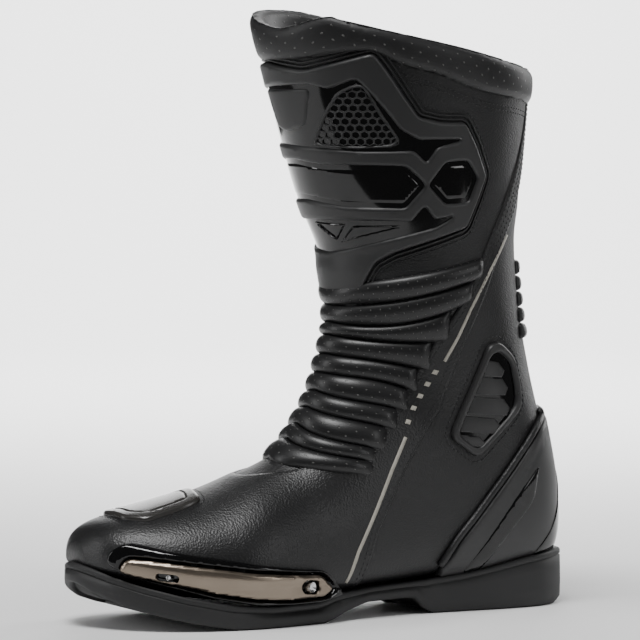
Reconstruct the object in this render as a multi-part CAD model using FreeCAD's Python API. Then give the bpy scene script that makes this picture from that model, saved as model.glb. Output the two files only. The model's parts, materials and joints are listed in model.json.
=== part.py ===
import FreeCAD, Part
import math
import os

# One left sport-riding boot, standing on its sole.  Millimetres.
# x runs to the outer side, -y to the toe, z up.  Outlines use s, the distance forward from the
# back of the heel, so that y = ORIGIN_S - s.

V = FreeCAD.Vector

# frame
ORIGIN_S = 151.57         # where the origin lies along s
ORIGIN_X = 0.0            # how far the boot's own middle line is moved in x
REACH = 110.0             # half width of a cutting prism, past every surface

# wall of the upper, as growth from the leather's outer face
LEATHER = 2.6
LINING_OUT, LINING_IN = -2.8, -5.3
GAP = 0.1                 # between a sewn or glued piece and the leather under it
SEAM = 0.2                # between neighbours in one layer

# body of the boot: sections that fan round a line in front of the ankle
FAN_S, FAN_Z = 210.0, 215.0
RING_POINTS = 24
# kind, place (s, degrees or z), near and far distance from the fan line, place of the widest
# point between them, middle x, half width, roundness of the near and of the far half
STATIONS = [
    ("foot", 303, 167, 180, .60, -10, 12, 2.0, 2.6),
    ("foot", 296, 159, 184, .62, -9, 26, 2.1, 3.0),
    ("foot", 283, 153.5, 189, .66, -7, 36, 2.1, 3.6),
    ("foot", 262, 149, 195, .68, -4, 45, 2.0, 4.0),
    ("foot", 235, 142, 199, .70, -1, 50, 1.9, 4.0),
    ("foot", 210, 133, 201, .70, 1, 50.5, 1.9, 4.0),
    ("fan", 15, 122, 206, .68, 2, 43, 1.9, 4.0),
    ("fan", 30, 104, 226, .62, 1, 39.5, 2.0, 3.6),
    ("fan", 42, 90.5, 261, .60, 0, 38, 2.1, 2.8),
    ("fan", 48, 85, 275, .60, 0, 38, 2.1, 2.4),
    ("fan", 54, 81, 258, .58, 0, 39, 2.1, 2.3),
    ("fan", 60, 77, 235, .55, 0, 41, 2.1, 2.2),
    ("fan", 68, 72, 209, .52, 0, 43.5, 2.1, 2.1),
    ("fan", 78, 66.5, 190, .5, 0, 46, 2.1, 2.1),
    ("fan", 90, 63.5, 182, .5, 0, 48, 2.1, 2.1),
    ("shaft", 238, 53.5, 184, .5, 0, 51.5, 2.1, 2.1),
    ("shaft", 262, 45.5, 185.5, .5, 0, 55, 2.1, 2.1),
    ("shaft", 288, 38, 187.5, .5, 0, 58.5, 2.1, 2.1),
    ("shaft", 312, 32, 189, .5, 0, 62, 2.1, 2.1),
    ("shaft", 334, 26, 189.5, .5, 0, 65, 2.1, 2.1),
    ("shaft", 356, 20, 190.5, .5, 0, 67, 2.1, 2.1),
]

# ankle joint
ANKLE_S, ANKLE_Z = 68.0, 110.0

# zip on the inner side
ZIP_S = 75.0
ZIP_LOW, ZIP_HIGH = 128.0, 302.0
ZIP_SLIT = 18.0           # width of the opening in the leather
COLLAR_SLIT = 8.0
TOOTH_WIDTH, TOOTH_DEEP, TOOTH_GAP = 1.9, 2.2, 1.2
TOOTH_OUT = 0.1           # how far the teeth stand out of the leather's face
TOOTH_IN = TOOTH_OUT - TOOTH_DEEP
TOOTH_FAR = TOOTH_GAP / 2 + TOOTH_WIDTH
TAPE_DEEP = 0.8
SLIDER_WIDTH, SLIDER_LONG, SLIDER_PLATE = 9.0, 13.0, 1.0
SLIDER_CLEAR = 0.5        # round the teeth
PULL_LONG, PULL_WIDTH, PULL_DEEP = 24.0, 7.0, 1.2
PULL_PIN, LUG_HOLE = 0.7, 1.0

# ribs over the front of the ankle
FLEX_RIBS = 9
FLEX_TOP, FLEX_LOW = (84.0, 183.5), (138.0, 97.0)

# flap over the zip
FLAP_FRONT, FLAP_BACK = 94.0, 44.0
FLAP_LOW, FLAP_HIGH = 134.0, 270.0
FLAP_IN, FLAP_OUT = 7.0, 8.6

# toe slider
SLIDER_SCREWS_S = (267.0, 189.0)
SLIDER_SCREWS_Z = (31.0, 22.5)
PLATE_IN, PLATE_OUT = 4.6, 8.2
FRAME_FLOOR, FRAME_RIM = 2.8, 6.4

BAND_WIDE = 14.0

# sole
TREAD_DEEP, TREAD_WIDE = 2.2, 4.0
HEEL_TREAD = (14, 27, 40, 53, 66, 79)
BALL_TREAD = (172, 185, 198, 211, 224)
HEEL_HALF, BALL_HALF = 25, 38
SHANK_LOW, SHANK_HIGH = 12.0, 14.0

# outlines as (s, z)
SOLE_SIDE = [(-6, 11), (-4, 6), (0, 2.5), (7, 0), (96, 0), (99, 2), (101, 8), (108, 10),
             (140, 9.5), (160, 4), (170, 0), (232, 0), (255, 4), (275, 9), (290, 14), (303, 21),
             (309, 26), (309, 37), (304, 36), (296, 33), (283, 27), (262, 20), (235, 14),
             (210, 12), (176, 12.5), (165, 16), (140, 18), (100, 20), (71, 23), (59, 25),
             (31, 30), (0, 33), (-9, 33)]
# and as (x, s)
SOLE_PLAN = [(0, -5), (20, 1), (31, 20), (34, 45), (33, 75), (33, 105), (38, 140), (48, 175),
             (55, 212), (53, 243), (44, 270), (27, 292), (4, 306), (-14, 308), (-33, 299),
             (-46, 282), (-52, 255), (-53, 220), (-44, 180), (-33, 145), (-29, 110), (-32, 75),
             (-33, 45), (-30, 20), (-19, 1)]
FEATHER = [(303, 35), (296, 31), (283, 26), (262, 20), (235, 16), (210, 14), (157, 16),
           (97, 19.3), (35, 21), (-10, 22)]
FOOT_OUTER = [(-20, -5), (330, -5), (330, 150), (215, 150), (200, 91), (150, 97), (110, 100),
              (20, 100), (20, 105), (-20, 105)]
FOOT_INNER = [(-20, -5), (330, -5), (330, 150), (215, 150), (200, 91), (150, 97), (110, 104),
              (68, 108), (20, 105), (-20, 105)]
SHAFT_OUTER = [(-20, 158), (112, 158), (118, 170), (125, 183), (240, 183), (240, 370),
               (-20, 370)]
SHAFT_INNER = [(-20, 158), (34, 158), (44, 122), (68, 113), (100, 128), (118, 160), (125, 183),
               (240, 183), (240, 370), (-20, 370)]
VAMP_SEAM = [(152, -5), (148, 16), (135, 52), (118, 85), (110, 112)]
CALF_SEAM = [(40, 90), (42, 158), (46, 245), (42, 300), (42, 370)]
COLLAR_TOP = [(240, 352), (190, 350), (165, 346), (126, 338), (87, 330), (45, 319.5), (15, 316),
              (-20, 315)]
COLLAR_LOW = [(240, 324), (174, 324), (147, 328), (139, 323), (109, 314), (76, 305), (51, 300),
              (20, 296), (-20, 296)]
SHIN_OUTER = [(240, 321), (185, 320), (179, 317), (165, 321), (149, 325), (141, 316), (130, 303),
              (120, 291), (104, 287), (88, 287), (79, 274), (69, 256), (75, 242), (82, 226),
              (101, 220), (126, 212), (135, 205), (139, 194), (143, 185), (240, 185)]
SHIN_INNER = [(240, 321), (185, 320), (165, 321), (147, 322), (132, 300), (120, 280), (118, 240),
              (130, 212), (138, 198), (143, 185), (240, 185)]
VENT = [(172, 276), (168, 293), (163, 303), (152, 306), (142, 291), (132, 277), (135, 273)]
GLOSS_MIDDLE = [(200, 264), (153, 262), (124, 261), (112, 251), (123, 238), (150, 238),
                (200, 242)]
GLOSS_HEX = [(109, 251), (102, 263), (85, 265), (77, 255), (84, 241), (100, 241)]
BAND = [(165, 14), (146, 52), (127, 88), (107, 122), (93, 152), (78, 190), (64, 222), (52, 262),
        (46, 296)]
HEEL_CUP = [(-20, 118), (8, 116), (23, 106), (35, 94), (49, 77), (66, 57), (80, 42), (90, 27),
            (90, 21.5), (71, 23.5), (59, 25.5), (31, 30.5), (0, 33.5), (-20, 33.5)]
CUP_FRONT = [(23, 106), (35, 94), (49, 77), (66, 57), (80, 42), (90, 27)]
CUP_BACK = [(14, 90), (9, 70), (9, 50), (16, 38)]
ANKLE_VENT = [(60, 152), (46, 148), (35, 138), (31, 126), (36, 115), (64, 89), (73, 87),
              (86, 95), (92, 102), (75, 137)]
ANKLE_GUARD = [(50, 84), (72, 62), (96, 60), (110, 76), (104, 95), (82, 103), (58, 101), (42, 96)]
TOE_FRAME = [(290, 46), (283, 50), (267, 46), (251, 43), (223, 37), (192, 33), (172, 31),
             (164, 19), (172, 13.5), (210, 13.5), (235, 15.5), (262, 21.5), (283, 29), (291, 38)]
TOE_PLATE = [(283, 38), (277, 40), (262, 36.5), (236, 32), (205, 28), (182, 28), (173, 20),
             (178, 16), (210, 16), (235, 18), (262, 24), (280, 32)]


def rings(grow):
    # the rows of points of the body's surface, moved out by grow
    rows = []
    for number, station in enumerate(STATIONS):
        kind, place, near, far, widest, middle, half, round_near, round_far = station
        angle = {"foot": 0.0, "fan": math.radians(place), "shaft": math.pi / 2}[kind]
        foot_s = place + (grow if number == 0 else 0)
        start_s, start_z = {"foot": (foot_s, FAN_Z), "fan": (FAN_S, FAN_Z),
                            "shaft": (FAN_S, place)}[kind]
        centre = near - grow + widest * (far - near + 2 * grow)
        row = []
        for step in range(RING_POINTS):
            turn = math.pi / 2 + 2 * math.pi * step / RING_POINTS
            across, along = math.cos(turn), math.sin(turn)
            power = 2 / (round_far if along > 0 else round_near)
            reach = far + grow - centre if along > 0 else centre - near + grow
            out = math.copysign(abs(across) ** power, across) * (half + grow)
            away = centre + math.copysign(abs(along) ** power, along) * reach
            s = start_s - away * math.sin(angle)
            z = start_z - away * math.cos(angle)
            row.append(V(middle + out + ORIGIN_X, ORIGIN_S - s, z))
        rows.append(row + row[:1])
    return rows


def make_body(grow):
    surface = Part.BSplineSurface()
    surface.interpolate(rings(grow))
    side = surface.toShape()
    ends = [Part.Face(Part.Wire([edge])) for edge in side.Edges if edge.isClosed()]
    shell = Part.Shell([side] + ends)
    shell.sewShape()
    solid = Part.makeSolid(shell)
    if solid.Volume < 0:
        solid.reverse()
    return solid


bodies = {}


def body(grow):
    if grow not in bodies:
        bodies[grow] = make_body(grow)
    return bodies[grow]


def side_prism(outline, low=-REACH, high=REACH):
    points = [V(low, ORIGIN_S - s, z) for s, z in outline]
    return Part.Face(Part.makePolygon(points + points[:1])).extrude(V(high - low, 0, 0))


def side_sweep(outline, low, high):
    # the same with a smooth outline
    curve = Part.BSplineCurve()
    curve.interpolate(Points=[V(low, ORIGIN_S - s, z) for s, z in outline], PeriodicFlag=True)
    return Part.Face(Part.Wire(curve.toShape())).extrude(V(high - low, 0, 0))


def plan_prism(outline, low, high):
    curve = Part.BSplineCurve()
    curve.interpolate(Points=[V(x + ORIGIN_X, ORIGIN_S - s, low) for x, s in outline],
                      PeriodicFlag=True)
    return Part.Face(Part.Wire(curve.toShape())).extrude(V(0, 0, high - low))


def strip(line, before, after, low=-REACH, high=REACH):
    # a band along a line of (s, z) points, so far in front of it and so far behind it
    return side_prism([(s + before, z) for s, z in line] +
                      [(s - after, z) for s, z in reversed(line)], low, high)


def layer(outer, inner, region):
    # the part of the wall between two growths that lies in a region
    return region.common(body(outer)).cut(body(inner))


def solids(shape, smallest=20.0):
    found = [one for one in shape.Solids if one.Volume > smallest]
    return found[0] if len(found) == 1 else Part.makeCompound(found)


def join(*shapes):
    return Part.makeCompound([one for shape in shapes for one in shape.Solids])


OUTER = (0.05, REACH)
INNER = (-REACH, -0.05)


def lift(line, rise):
    return [(s, z + rise) for s, z in line]


def above(line, top=400):
    return [(line[0][0], top)] + list(line) + [(line[-1][0], top)]


def below(line, bottom=-60):
    return [(line[0][0], bottom)] + list(line) + [(line[-1][0], bottom)]


def ahead(line, front=340):
    return list(line) + [(front, line[-1][1]), (front, line[0][1])]


def behind(line, back=-30):
    return list(line) + [(back, line[-1][1]), (back, line[0][1])]


def surface_frame(s, z, side, grow=0.0):
    # a point of the body's side surface and its outward normal
    ray = Part.makeLine(V(0, ORIGIN_S - s, z), V(side * REACH, ORIGIN_S - s, z))
    face = body(grow).Faces[0]
    point = ray.distToShape(face)[1][0][0]
    u, v = face.Surface.parameter(point)
    normal = face.normalAt(u, v)
    return point, normal * (1 if normal.x * side > 0 else -1)


# ---- foot ----

def foot_region(side):
    return side_prism(FOOT_OUTER if side > 0 else FOOT_INNER, *(OUTER if side > 0 else INNER))


def make_outsole():
    sole = plan_prism(SOLE_PLAN, -1, 60).common(side_prism(SOLE_SIDE)).cut(body(0.2))
    for places, half in ((HEEL_TREAD, HEEL_HALF), (BALL_TREAD, BALL_HALF)):
        for s in places:
            sole = sole.cut(Part.makeBox(2 * half, TREAD_WIDE, TREAD_DEEP + 1,
                                         V(-half, ORIGIN_S - s - TREAD_WIDE, -1)))
    seat = side_prism([(s, z - 0.4) for s, z in TOE_FRAME], 28, REACH)
    return solids(sole.cut(seat).cut(shank_box(0.1)))


def shank_box(clear):
    return Part.makeBox(18 + 2 * clear, 112 + 2 * clear, SHANK_HIGH - SHANK_LOW + 2 * clear,
                        V(-9 - clear, ORIGIN_S - 175 - clear, SHANK_LOW - clear))


def make_insole_board():
    return solids(side_prism(below(lift(FEATHER, 5.2))).common(body(LINING_OUT)))


def make_footbed():
    slab = side_prism(below(lift(FEATHER, 9.4))).cut(side_prism(below(lift(FEATHER, 5.3))))
    return solids(slab.common(body(LINING_IN - 0.2)))


def foot_lining_region():
    both = foot_region(1).fuse(foot_region(-1)).fuse(
        side_prism(FOOT_OUTER, -0.1, 0.1))
    return both.cut(side_prism(below(lift(FEATHER, 5.3))))


def make_toe_puff():
    return solids(layer(LINING_OUT, LINING_IN,
                        side_prism([(240, 10), (330, 10), (330, 120), (240, 120)])
                        .cut(side_prism(below(lift(FEATHER, 5.3))))))


def make_heel_counter():
    return solids(layer(LINING_OUT, LINING_IN,
                        side_prism([(-20, 10), (70, 10), (60, 60), (40, 96), (-20, 96)])
                        .cut(side_prism(below(lift(FEATHER, 5.3))))))


def make_lining_foot():
    region = foot_lining_region()
    region = region.cut(side_prism([(240 - SEAM, 0), (340, 0), (340, 160), (240 - SEAM, 160)]))
    region = region.cut(side_prism([(-30, 0), (70 + SEAM, 0), (70 + SEAM, 10), (60 + SEAM, 60),
                                    (40 + SEAM, 96 + SEAM), (-30, 96 + SEAM)]))
    return solids(layer(LINING_OUT, LINING_IN, region))


def make_vamp():
    front = side_prism(ahead([(s + SEAM, z) for s, z in VAMP_SEAM]))
    region = foot_region(1).fuse(foot_region(-1)).fuse(side_prism(FOOT_OUTER, -0.1, 0.1))
    return solids(layer(0, -LEATHER, region.common(front)))


def make_quarter(side):
    return solids(layer(0, -LEATHER, foot_region(side).common(side_prism(behind(VAMP_SEAM)))))


def make_shift_pad():
    outline = [(16, 236), (18, 246), (18, 272), (8, 282), (-14, 284), (-30, 276), (-32, 256),
               (-26, 238), (-6, 232)]
    return solids(layer(2.6, GAP, plan_prism(outline, 48, 90)))


def make_toe_frame():
    region = side_prism(TOE_FRAME, 32, REACH)
    recess = side_prism(grown(widened(TOE_PLATE, 1.4), 3.0), 30, REACH)
    rim = layer(FRAME_RIM, GAP, region.cut(recess))
    floor = layer(FRAME_FLOOR, GAP, region.common(recess))
    frame = rim.fuse(floor)
    for s, z in zip(SLIDER_SCREWS_S, SLIDER_SCREWS_Z):
        frame = frame.cut(along_normal(s, z, 2.1, -2, 12))
    return solids(frame)


def grown(outline, by):
    # the outline stretched from its middle by the same length to each end, and a little in z
    low, high = min(s for s, z in outline), max(s for s, z in outline)
    middle = (low + high) / 2
    wide = (high - middle + by) / (high - middle)
    return [(middle + (s - middle) * wide, z) for s, z in outline]


def widened(outline, by):
    # the outline moved outwards by the same width all round
    middle = V(sum(s for s, z in outline), sum(z for s, z in outline), 0) * (1 / len(outline))
    moved = []
    for number, (s, z) in enumerate(outline):
        before, after = outline[number - 1], outline[(number + 1) % len(outline)]
        run = V(after[0] - before[0], after[1] - before[1], 0).normalize()
        out = V(run.y, -run.x, 0)
        if out.dot(V(s, z, 0) - middle) < 0:
            out = out * -1
        moved.append((s + out.x * by, z + out.y * by))
    return moved


def along_normal(s, z, radius, low, high):
    point, normal = surface_frame(s, z, 1)
    return Part.makeCylinder(radius, high - low, point + normal * low, normal)


def slot(s, z, radius, low, high, travel):
    # a slot through the plate, along the slide
    point, normal = surface_frame(s, z, 1)
    along = slide_axis()
    hole = Part.makeCylinder(radius, high - low, point + normal * low, normal)
    ends = [hole.translated(along * move) for move in (-travel, travel)]
    across = normal.cross(along).normalize()
    run = along - normal * along.dot(normal)
    corner = point + normal * low - run * travel - across * radius
    block = Part.Face(Part.makePolygon([corner, corner + run * 2 * travel,
                                        corner + run * 2 * travel + across * 2 * radius,
                                        corner + across * 2 * radius, corner]))
    return ends[0].fuse(ends[1]).fuse(block.extrude(normal * (high - low)))


def slide_axis():
    first, _ = surface_frame(SLIDER_SCREWS_S[0], SLIDER_SCREWS_Z[0], 1)
    last, _ = surface_frame(SLIDER_SCREWS_S[1], SLIDER_SCREWS_Z[1], 1)
    return (first - last).normalize()


def make_toe_plate():
    plate = layer(PLATE_OUT, PLATE_IN, side_prism(TOE_PLATE, 32, REACH))
    for s, z in zip(SLIDER_SCREWS_S, SLIDER_SCREWS_Z):
        plate = plate.cut(slot(s, z, 2.6, 2, 12, 3.2))
        plate = plate.cut(slot(s, z, 4.3, PLATE_IN + 1.2, 12, 3.2))
    return solids(plate)


def make_slider_screws():
    screws = []
    for s, z in zip(SLIDER_SCREWS_S, SLIDER_SCREWS_Z):
        shank = along_normal(s, z, 1.8, GAP + 0.2, PLATE_IN + 2.4)
        head = along_normal(s, z, 3.6, PLATE_IN + 2.4, PLATE_OUT + 0.2)
        point, normal = surface_frame(s, z, 1)
        socket = Part.makeCylinder(1.6, 1.0, point + normal * (PLATE_OUT - 0.6), normal)
        screws.append(shank.fuse(head).cut(socket))
    return join(*screws)


def make_heel_cup():
    return solids(layer(4.0, GAP, side_prism(HEEL_CUP)))


def make_cup_inlays():
    front = strip([(s, z) for s, z in CUP_FRONT[1:5]], -2.5, 8.5, *OUTER)
    back = strip(CUP_BACK, 3.0, 3.0, *OUTER)
    outer = layer(5.0, 4.1, front.fuse(back))
    front = strip([(s, z) for s, z in CUP_FRONT[1:5]], -2.5, 8.5, *INNER)
    back = strip(CUP_BACK, 3.0, 3.0, *INNER)
    return join(solids(outer), solids(layer(5.0, 4.1, front.fuse(back))))


def make_cup_piping():
    return solids(layer(3.2, GAP, strip(CUP_FRONT, 4.5, -0.3).cut(side_prism(HEEL_CUP))))


def make_ankle_vent():
    vent = layer(3.6, GAP, side_prism(ANKLE_VENT, 20, REACH))
    for z, front, back in ((136, 68, 44), (125, 73, 40), (113, 78, 46), (101, 84, 58)):
        lip = side_prism([(front, z), (back, z - 2), (back, z - 5), (front, z - 3.5)], 20, REACH)
        vent = vent.cut(lip)
    return solids(vent)


def make_ankle_guard():
    cup = side_prism(HEEL_CUP).fuse(strip(CUP_FRONT, 5.5, 1))
    return solids(layer(3.6, GAP, side_sweep(ANKLE_GUARD, *INNER).cut(cup)))


def band_region(low, high):
    zone = side_prism([(-20, low), (300, low), (300, high), (-20, high)], *OUTER)
    return strip(BAND, BAND_WIDE / 2, BAND_WIDE / 2, *OUTER).common(zone)


def make_band_foot():
    frame = side_prism(widened(TOE_FRAME, 0.6))
    return solids(layer(1.4, GAP, band_region(16.5, 97).cut(frame)))


def make_band_ankle():
    vent = side_prism(grown(ANKLE_VENT, 1.0))
    return solids(layer(1.4, GAP, band_region(97 + SEAM, 160).cut(vent)))


def make_band_shaft():
    plate = side_prism(grown(SHIN_OUTER, 1.0))
    return solids(layer(1.4, GAP, band_region(160 + SEAM, 294).cut(plate)))


# ---- between foot and shaft ----

def make_gaiter():
    region = side_prism([(-20, 80), (198, 80), (198, 200), (-20, 200)])
    for outline in (FOOT_OUTER, SHAFT_OUTER):
        for move in (-SEAM, SEAM):
            region = region.cut(side_prism(outline, -0.2, REACH).translated(V(0, 0, move)))
    for outline in (FOOT_INNER, SHAFT_INNER):
        for move in (-SEAM, SEAM):
            region = region.cut(side_prism(outline, -REACH, 0.2).translated(V(0, 0, move)))
    return solids(layer(0, LINING_IN, region))


def make_front_flex():
    # padded ribs over the front of the ankle, from under the shin plate down to the vamp
    ribs = []
    for number in range(FLEX_RIBS):
        lines = []
        for edge, gap in ((number, 0.15), (number + 1, -0.15)):
            part = edge / FLEX_RIBS
            fall = math.radians(3 + 10 * math.sin(math.pi * part))
            s = FLEX_TOP[0] + (FLEX_LOW[0] - FLEX_TOP[0]) * part
            z = FLEX_TOP[1] + (FLEX_LOW[1] - FLEX_TOP[1]) * part - gap
            lines.append([(s - 60, z + 60 * math.tan(fall)), (s + 110, z - 110 * math.tan(fall))])
        upper, lower = lines
        zone = side_prism(upper + list(reversed(lower))).cut(side_prism(band_keep()))
        zone = zone.cut(side_prism([(20, 124), (108, 124), (108, 280), (20, 280)], *INNER))
        ribs.append(solids(layer(3.5, GAP, zone), 300))
    return join(*ribs)


def band_keep():
    # the room that the side band and what lies behind it take up
    line = [(s + BAND_WIDE / 2 + 0.5, z) for s, z in BAND[1:7]]
    return behind(line, -80)


# ---- shaft ----

def shaft_region(side):
    return side_prism(SHAFT_OUTER if side > 0 else SHAFT_INNER, *(OUTER if side > 0 else INNER))


def under_collar():
    return side_prism(below([(s, z - SEAM) for s, z in COLLAR_LOW]))


def zip_slot(width):
    return side_prism([(ZIP_S + width / 2, ZIP_LOW - 6), (ZIP_S + width / 2, 370),
                       (ZIP_S - width / 2, 370), (ZIP_S - width / 2, ZIP_LOW - 6)], *INNER)


def make_shaft_side(side):
    region = shaft_region(side).common(under_collar())
    region = region.common(side_prism(ahead([(s + SEAM, z) for s, z in CALF_SEAM])))
    if side < 0:
        region = region.cut(zip_slot(ZIP_SLIT))
    return solids(layer(0, -LEATHER, region))


def make_calf_panel():
    region = shaft_region(1).fuse(shaft_region(-1)).fuse(side_prism(SHAFT_OUTER, -0.1, 0.1))
    return solids(layer(0, -LEATHER, region.common(under_collar())
                        .common(side_prism(behind(CALF_SEAM)))))


def make_lining_shaft():
    region = shaft_region(1).fuse(shaft_region(-1)).fuse(side_prism(SHAFT_OUTER, -0.1, 0.1))
    return solids(layer(LINING_OUT, LINING_IN, region.common(under_collar())
                        .cut(zip_slot(ZIP_SLIT))))


def make_collar():
    ring = side_prism(below(COLLAR_TOP)).common(side_prism(above(COLLAR_LOW)))
    return solids(layer(3.0, -7.0, ring.cut(zip_slot(COLLAR_SLIT))))


def shin_region():
    outer = side_prism(SHIN_OUTER, -0.1, REACH)
    return outer.fuse(side_prism(SHIN_INNER, -REACH, 0.1))


def make_shin_plate():
    return solids(layer(3.2, GAP, shin_region().cut(side_prism(VENT, 12, REACH))))


def make_shin_mesh():
    inside = [(152 + (s - 152) * 0.97, 288 + (z - 288) * 0.97) for s, z in VENT]
    return solids(layer(2.0, 0.9, side_prism(inside, 12.6, REACH)))


def make_shin_gloss():
    panels = side_prism(GLOSS_MIDDLE, -34, REACH)
    return join(solids(layer(4.3, 3.3, panels)),
                solids(layer(4.3, 3.3, side_prism(GLOSS_HEX, *OUTER))),
                solids(layer(4.3, 3.3, window_region())))


def window_region():
    points = [V(x, -90, z) for x, z in ((-18, 304), (20, 306), (12, 286), (2, 282), (-10, 285))]
    return Part.Face(Part.makePolygon(points + points[:1])).extrude(V(0, 90, 0))


def make_shin_trim():
    line = [(147, 327), (140, 320), (129, 307), (119, 295), (104, 291), (86, 291), (76, 276),
            (65, 256), (72, 240), (80, 222), (101, 216), (124, 208), (131, 202), (136, 192)]
    outer = side_prism(line + [(139, 192), (136.5, 205), (127, 212.5), (101, 220.5), (82, 226.5),
                               (75, 242), (69, 256), (79, 274.5), (88, 287.5), (104, 287.5),
                               (120, 291.5), (130, 303.5), (141, 316.5), (149, 325.5)], *OUTER)
    return solids(layer(1.5, GAP, outer.cut(side_prism(SHIN_OUTER, *OUTER))))


def make_rear_flex():
    ribs = []
    for number in range(5):
        low = 159 + number * 9.4
        zone = side_prism([(-20, low), (33, low), (33, low + 8.8), (-20, low + 8.8)])
        ribs.append(solids(layer(3.2, GAP, zone)))
    return join(*ribs)


def make_grip_panel():
    return solids(layer(1.6, GAP, side_prism([(104, 186), (126, 190), (124, 208), (112, 236),
                                              (113, 284), (118, 296), (104, 296)], *INNER)))


# ---- zip ----

def zip_frame():
    low, _ = surface_frame(ZIP_S, ZIP_LOW, -1)
    high, _ = surface_frame(ZIP_S, ZIP_HIGH, -1)
    up = (high - low).normalize()
    side = V(0, 1, 0)
    side = (side - up * side.dot(up)).normalize()
    out = up.cross(side) if up.cross(side).x < 0 else side.cross(up)
    return low, up, side, out, (high - low).Length


def zip_box(side_low, side_high, out_low, out_high, up_low, up_high):
    # a block in the zip's own directions, measured from its lower end
    low, up, side, out, _ = zip_frame()
    corner = low + side * side_low + out * out_low + up * up_low
    base = [corner, corner + side * (side_high - side_low),
            corner + side * (side_high - side_low) + out * (out_high - out_low),
            corner + out * (out_high - out_low)]
    return Part.Face(Part.makePolygon(base + base[:1])).extrude(up * (up_high - up_low))


def mirrored_boxes(near, far, *rest):
    return join(zip_box(near, far, *rest), zip_box(-far, -near, *rest))


def make_zip_teeth():
    length = zip_frame()[4]
    return mirrored_boxes(TOOTH_GAP / 2, TOOTH_FAR, TOOTH_IN, TOOTH_OUT, 0, length)


def make_zip_tapes():
    length = zip_frame()[4]
    middle = (TOOTH_IN + TOOTH_OUT) / 2
    return mirrored_boxes(TOOTH_FAR + 0.05, ZIP_SLIT / 2 - 0.1, middle - TAPE_DEEP / 2,
                          middle + TAPE_DEEP / 2, 0, length)


def make_zip_stops():
    length = zip_frame()[4]
    ends = ((-3.2, -0.2), (length + 0.2, length + 3.2))
    return join(*[zip_box(-3.2, 3.2, TOOTH_IN, TOOTH_OUT + 0.4, low, high) for low, high in ends])


def make_zip_slider():
    top = zip_frame()[4] - 0.3
    low = top - SLIDER_LONG
    half = SLIDER_WIDTH / 2
    front = TOOTH_OUT + SLIDER_CLEAR
    back = TOOTH_IN - SLIDER_CLEAR
    outer = zip_box(-half, half, front, front + SLIDER_PLATE, low, top)
    inner = zip_box(-half, half, back - SLIDER_PLATE, back, low, top)
    web = zip_box(-0.25, 0.25, back - 0.2, front + 0.2, top - 5, top)
    lug = zip_box(-1.4, 1.4, front + SLIDER_PLATE - 0.1, front + SLIDER_PLATE + 3.0,
                  top - 4.5, top - 0.5)
    return solids(outer.fuse(inner).fuse(web).fuse(lug).cut(pull_pin(LUG_HOLE, 6.0)), 5)


def pull_centre():
    low, up, side, out, length = zip_frame()
    return low + up * (length - 0.3 - 2.5) + out * (TOOTH_OUT + SLIDER_CLEAR + SLIDER_PLATE + 1.5)


def pull_pin(radius, long):
    _, _, side, _, _ = zip_frame()
    return Part.makeCylinder(radius, long, pull_centre() - side * long / 2, side)


def make_zip_pull():
    length = zip_frame()[4]
    middle = TOOTH_OUT + SLIDER_CLEAR + SLIDER_PLATE + 1.5
    top = length - 0.3 - 2.5
    half = PULL_WIDTH / 2
    low, high = middle - PULL_DEEP / 2, middle + PULL_DEEP / 2
    plate = zip_box(-half, half, low, high, top - PULL_LONG, top + 0.6)
    window = zip_box(-2.0, 2.0, low - 1, high + 1, top - 4.2, top + 1.0)
    tab = zip_box(-1.8, 1.8, low - 1, high + 1, top - PULL_LONG + 3, top - PULL_LONG + 7)
    return solids(plate.cut(window).cut(tab).fuse(pull_pin(PULL_PIN, PULL_WIDTH)), 5)


# ---- flap ----

def flap_outline(back, front):
    return [(back, FLAP_LOW - 6), (front, FLAP_LOW), (front, FLAP_HIGH), (back, FLAP_HIGH - 4)]


def flap_axis():
    # the fold runs along the flap's front edge, at its outer face
    ends = [surface_frame(FLAP_FRONT + 1, z, -1, FLAP_OUT)[0] for z in (FLAP_LOW, FLAP_HIGH)]
    return ends[0], (ends[1] - ends[0]).normalize()


def make_zip_flap():
    return solids(layer(FLAP_OUT, FLAP_IN, side_prism(flap_outline(FLAP_BACK, FLAP_FRONT),
                                                      -REACH, -20)))


def make_loop_strip():
    return solids(layer(FLAP_IN - 0.1, 3.1, side_prism(flap_outline(46, 58), -REACH, -20)))


def make_hook_strip():
    return solids(layer(2.9, GAP, side_prism(flap_outline(46, 58), -REACH, -20)))


def flap_hem_region(clear):
    return side_prism(flap_outline(FLAP_FRONT + 4 - clear, FLAP_FRONT + 8.5 + clear), -REACH, -20)


def make_flap_hem():
    return solids(layer(FLAP_IN, GAP, flap_hem_region(0)))


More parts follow.
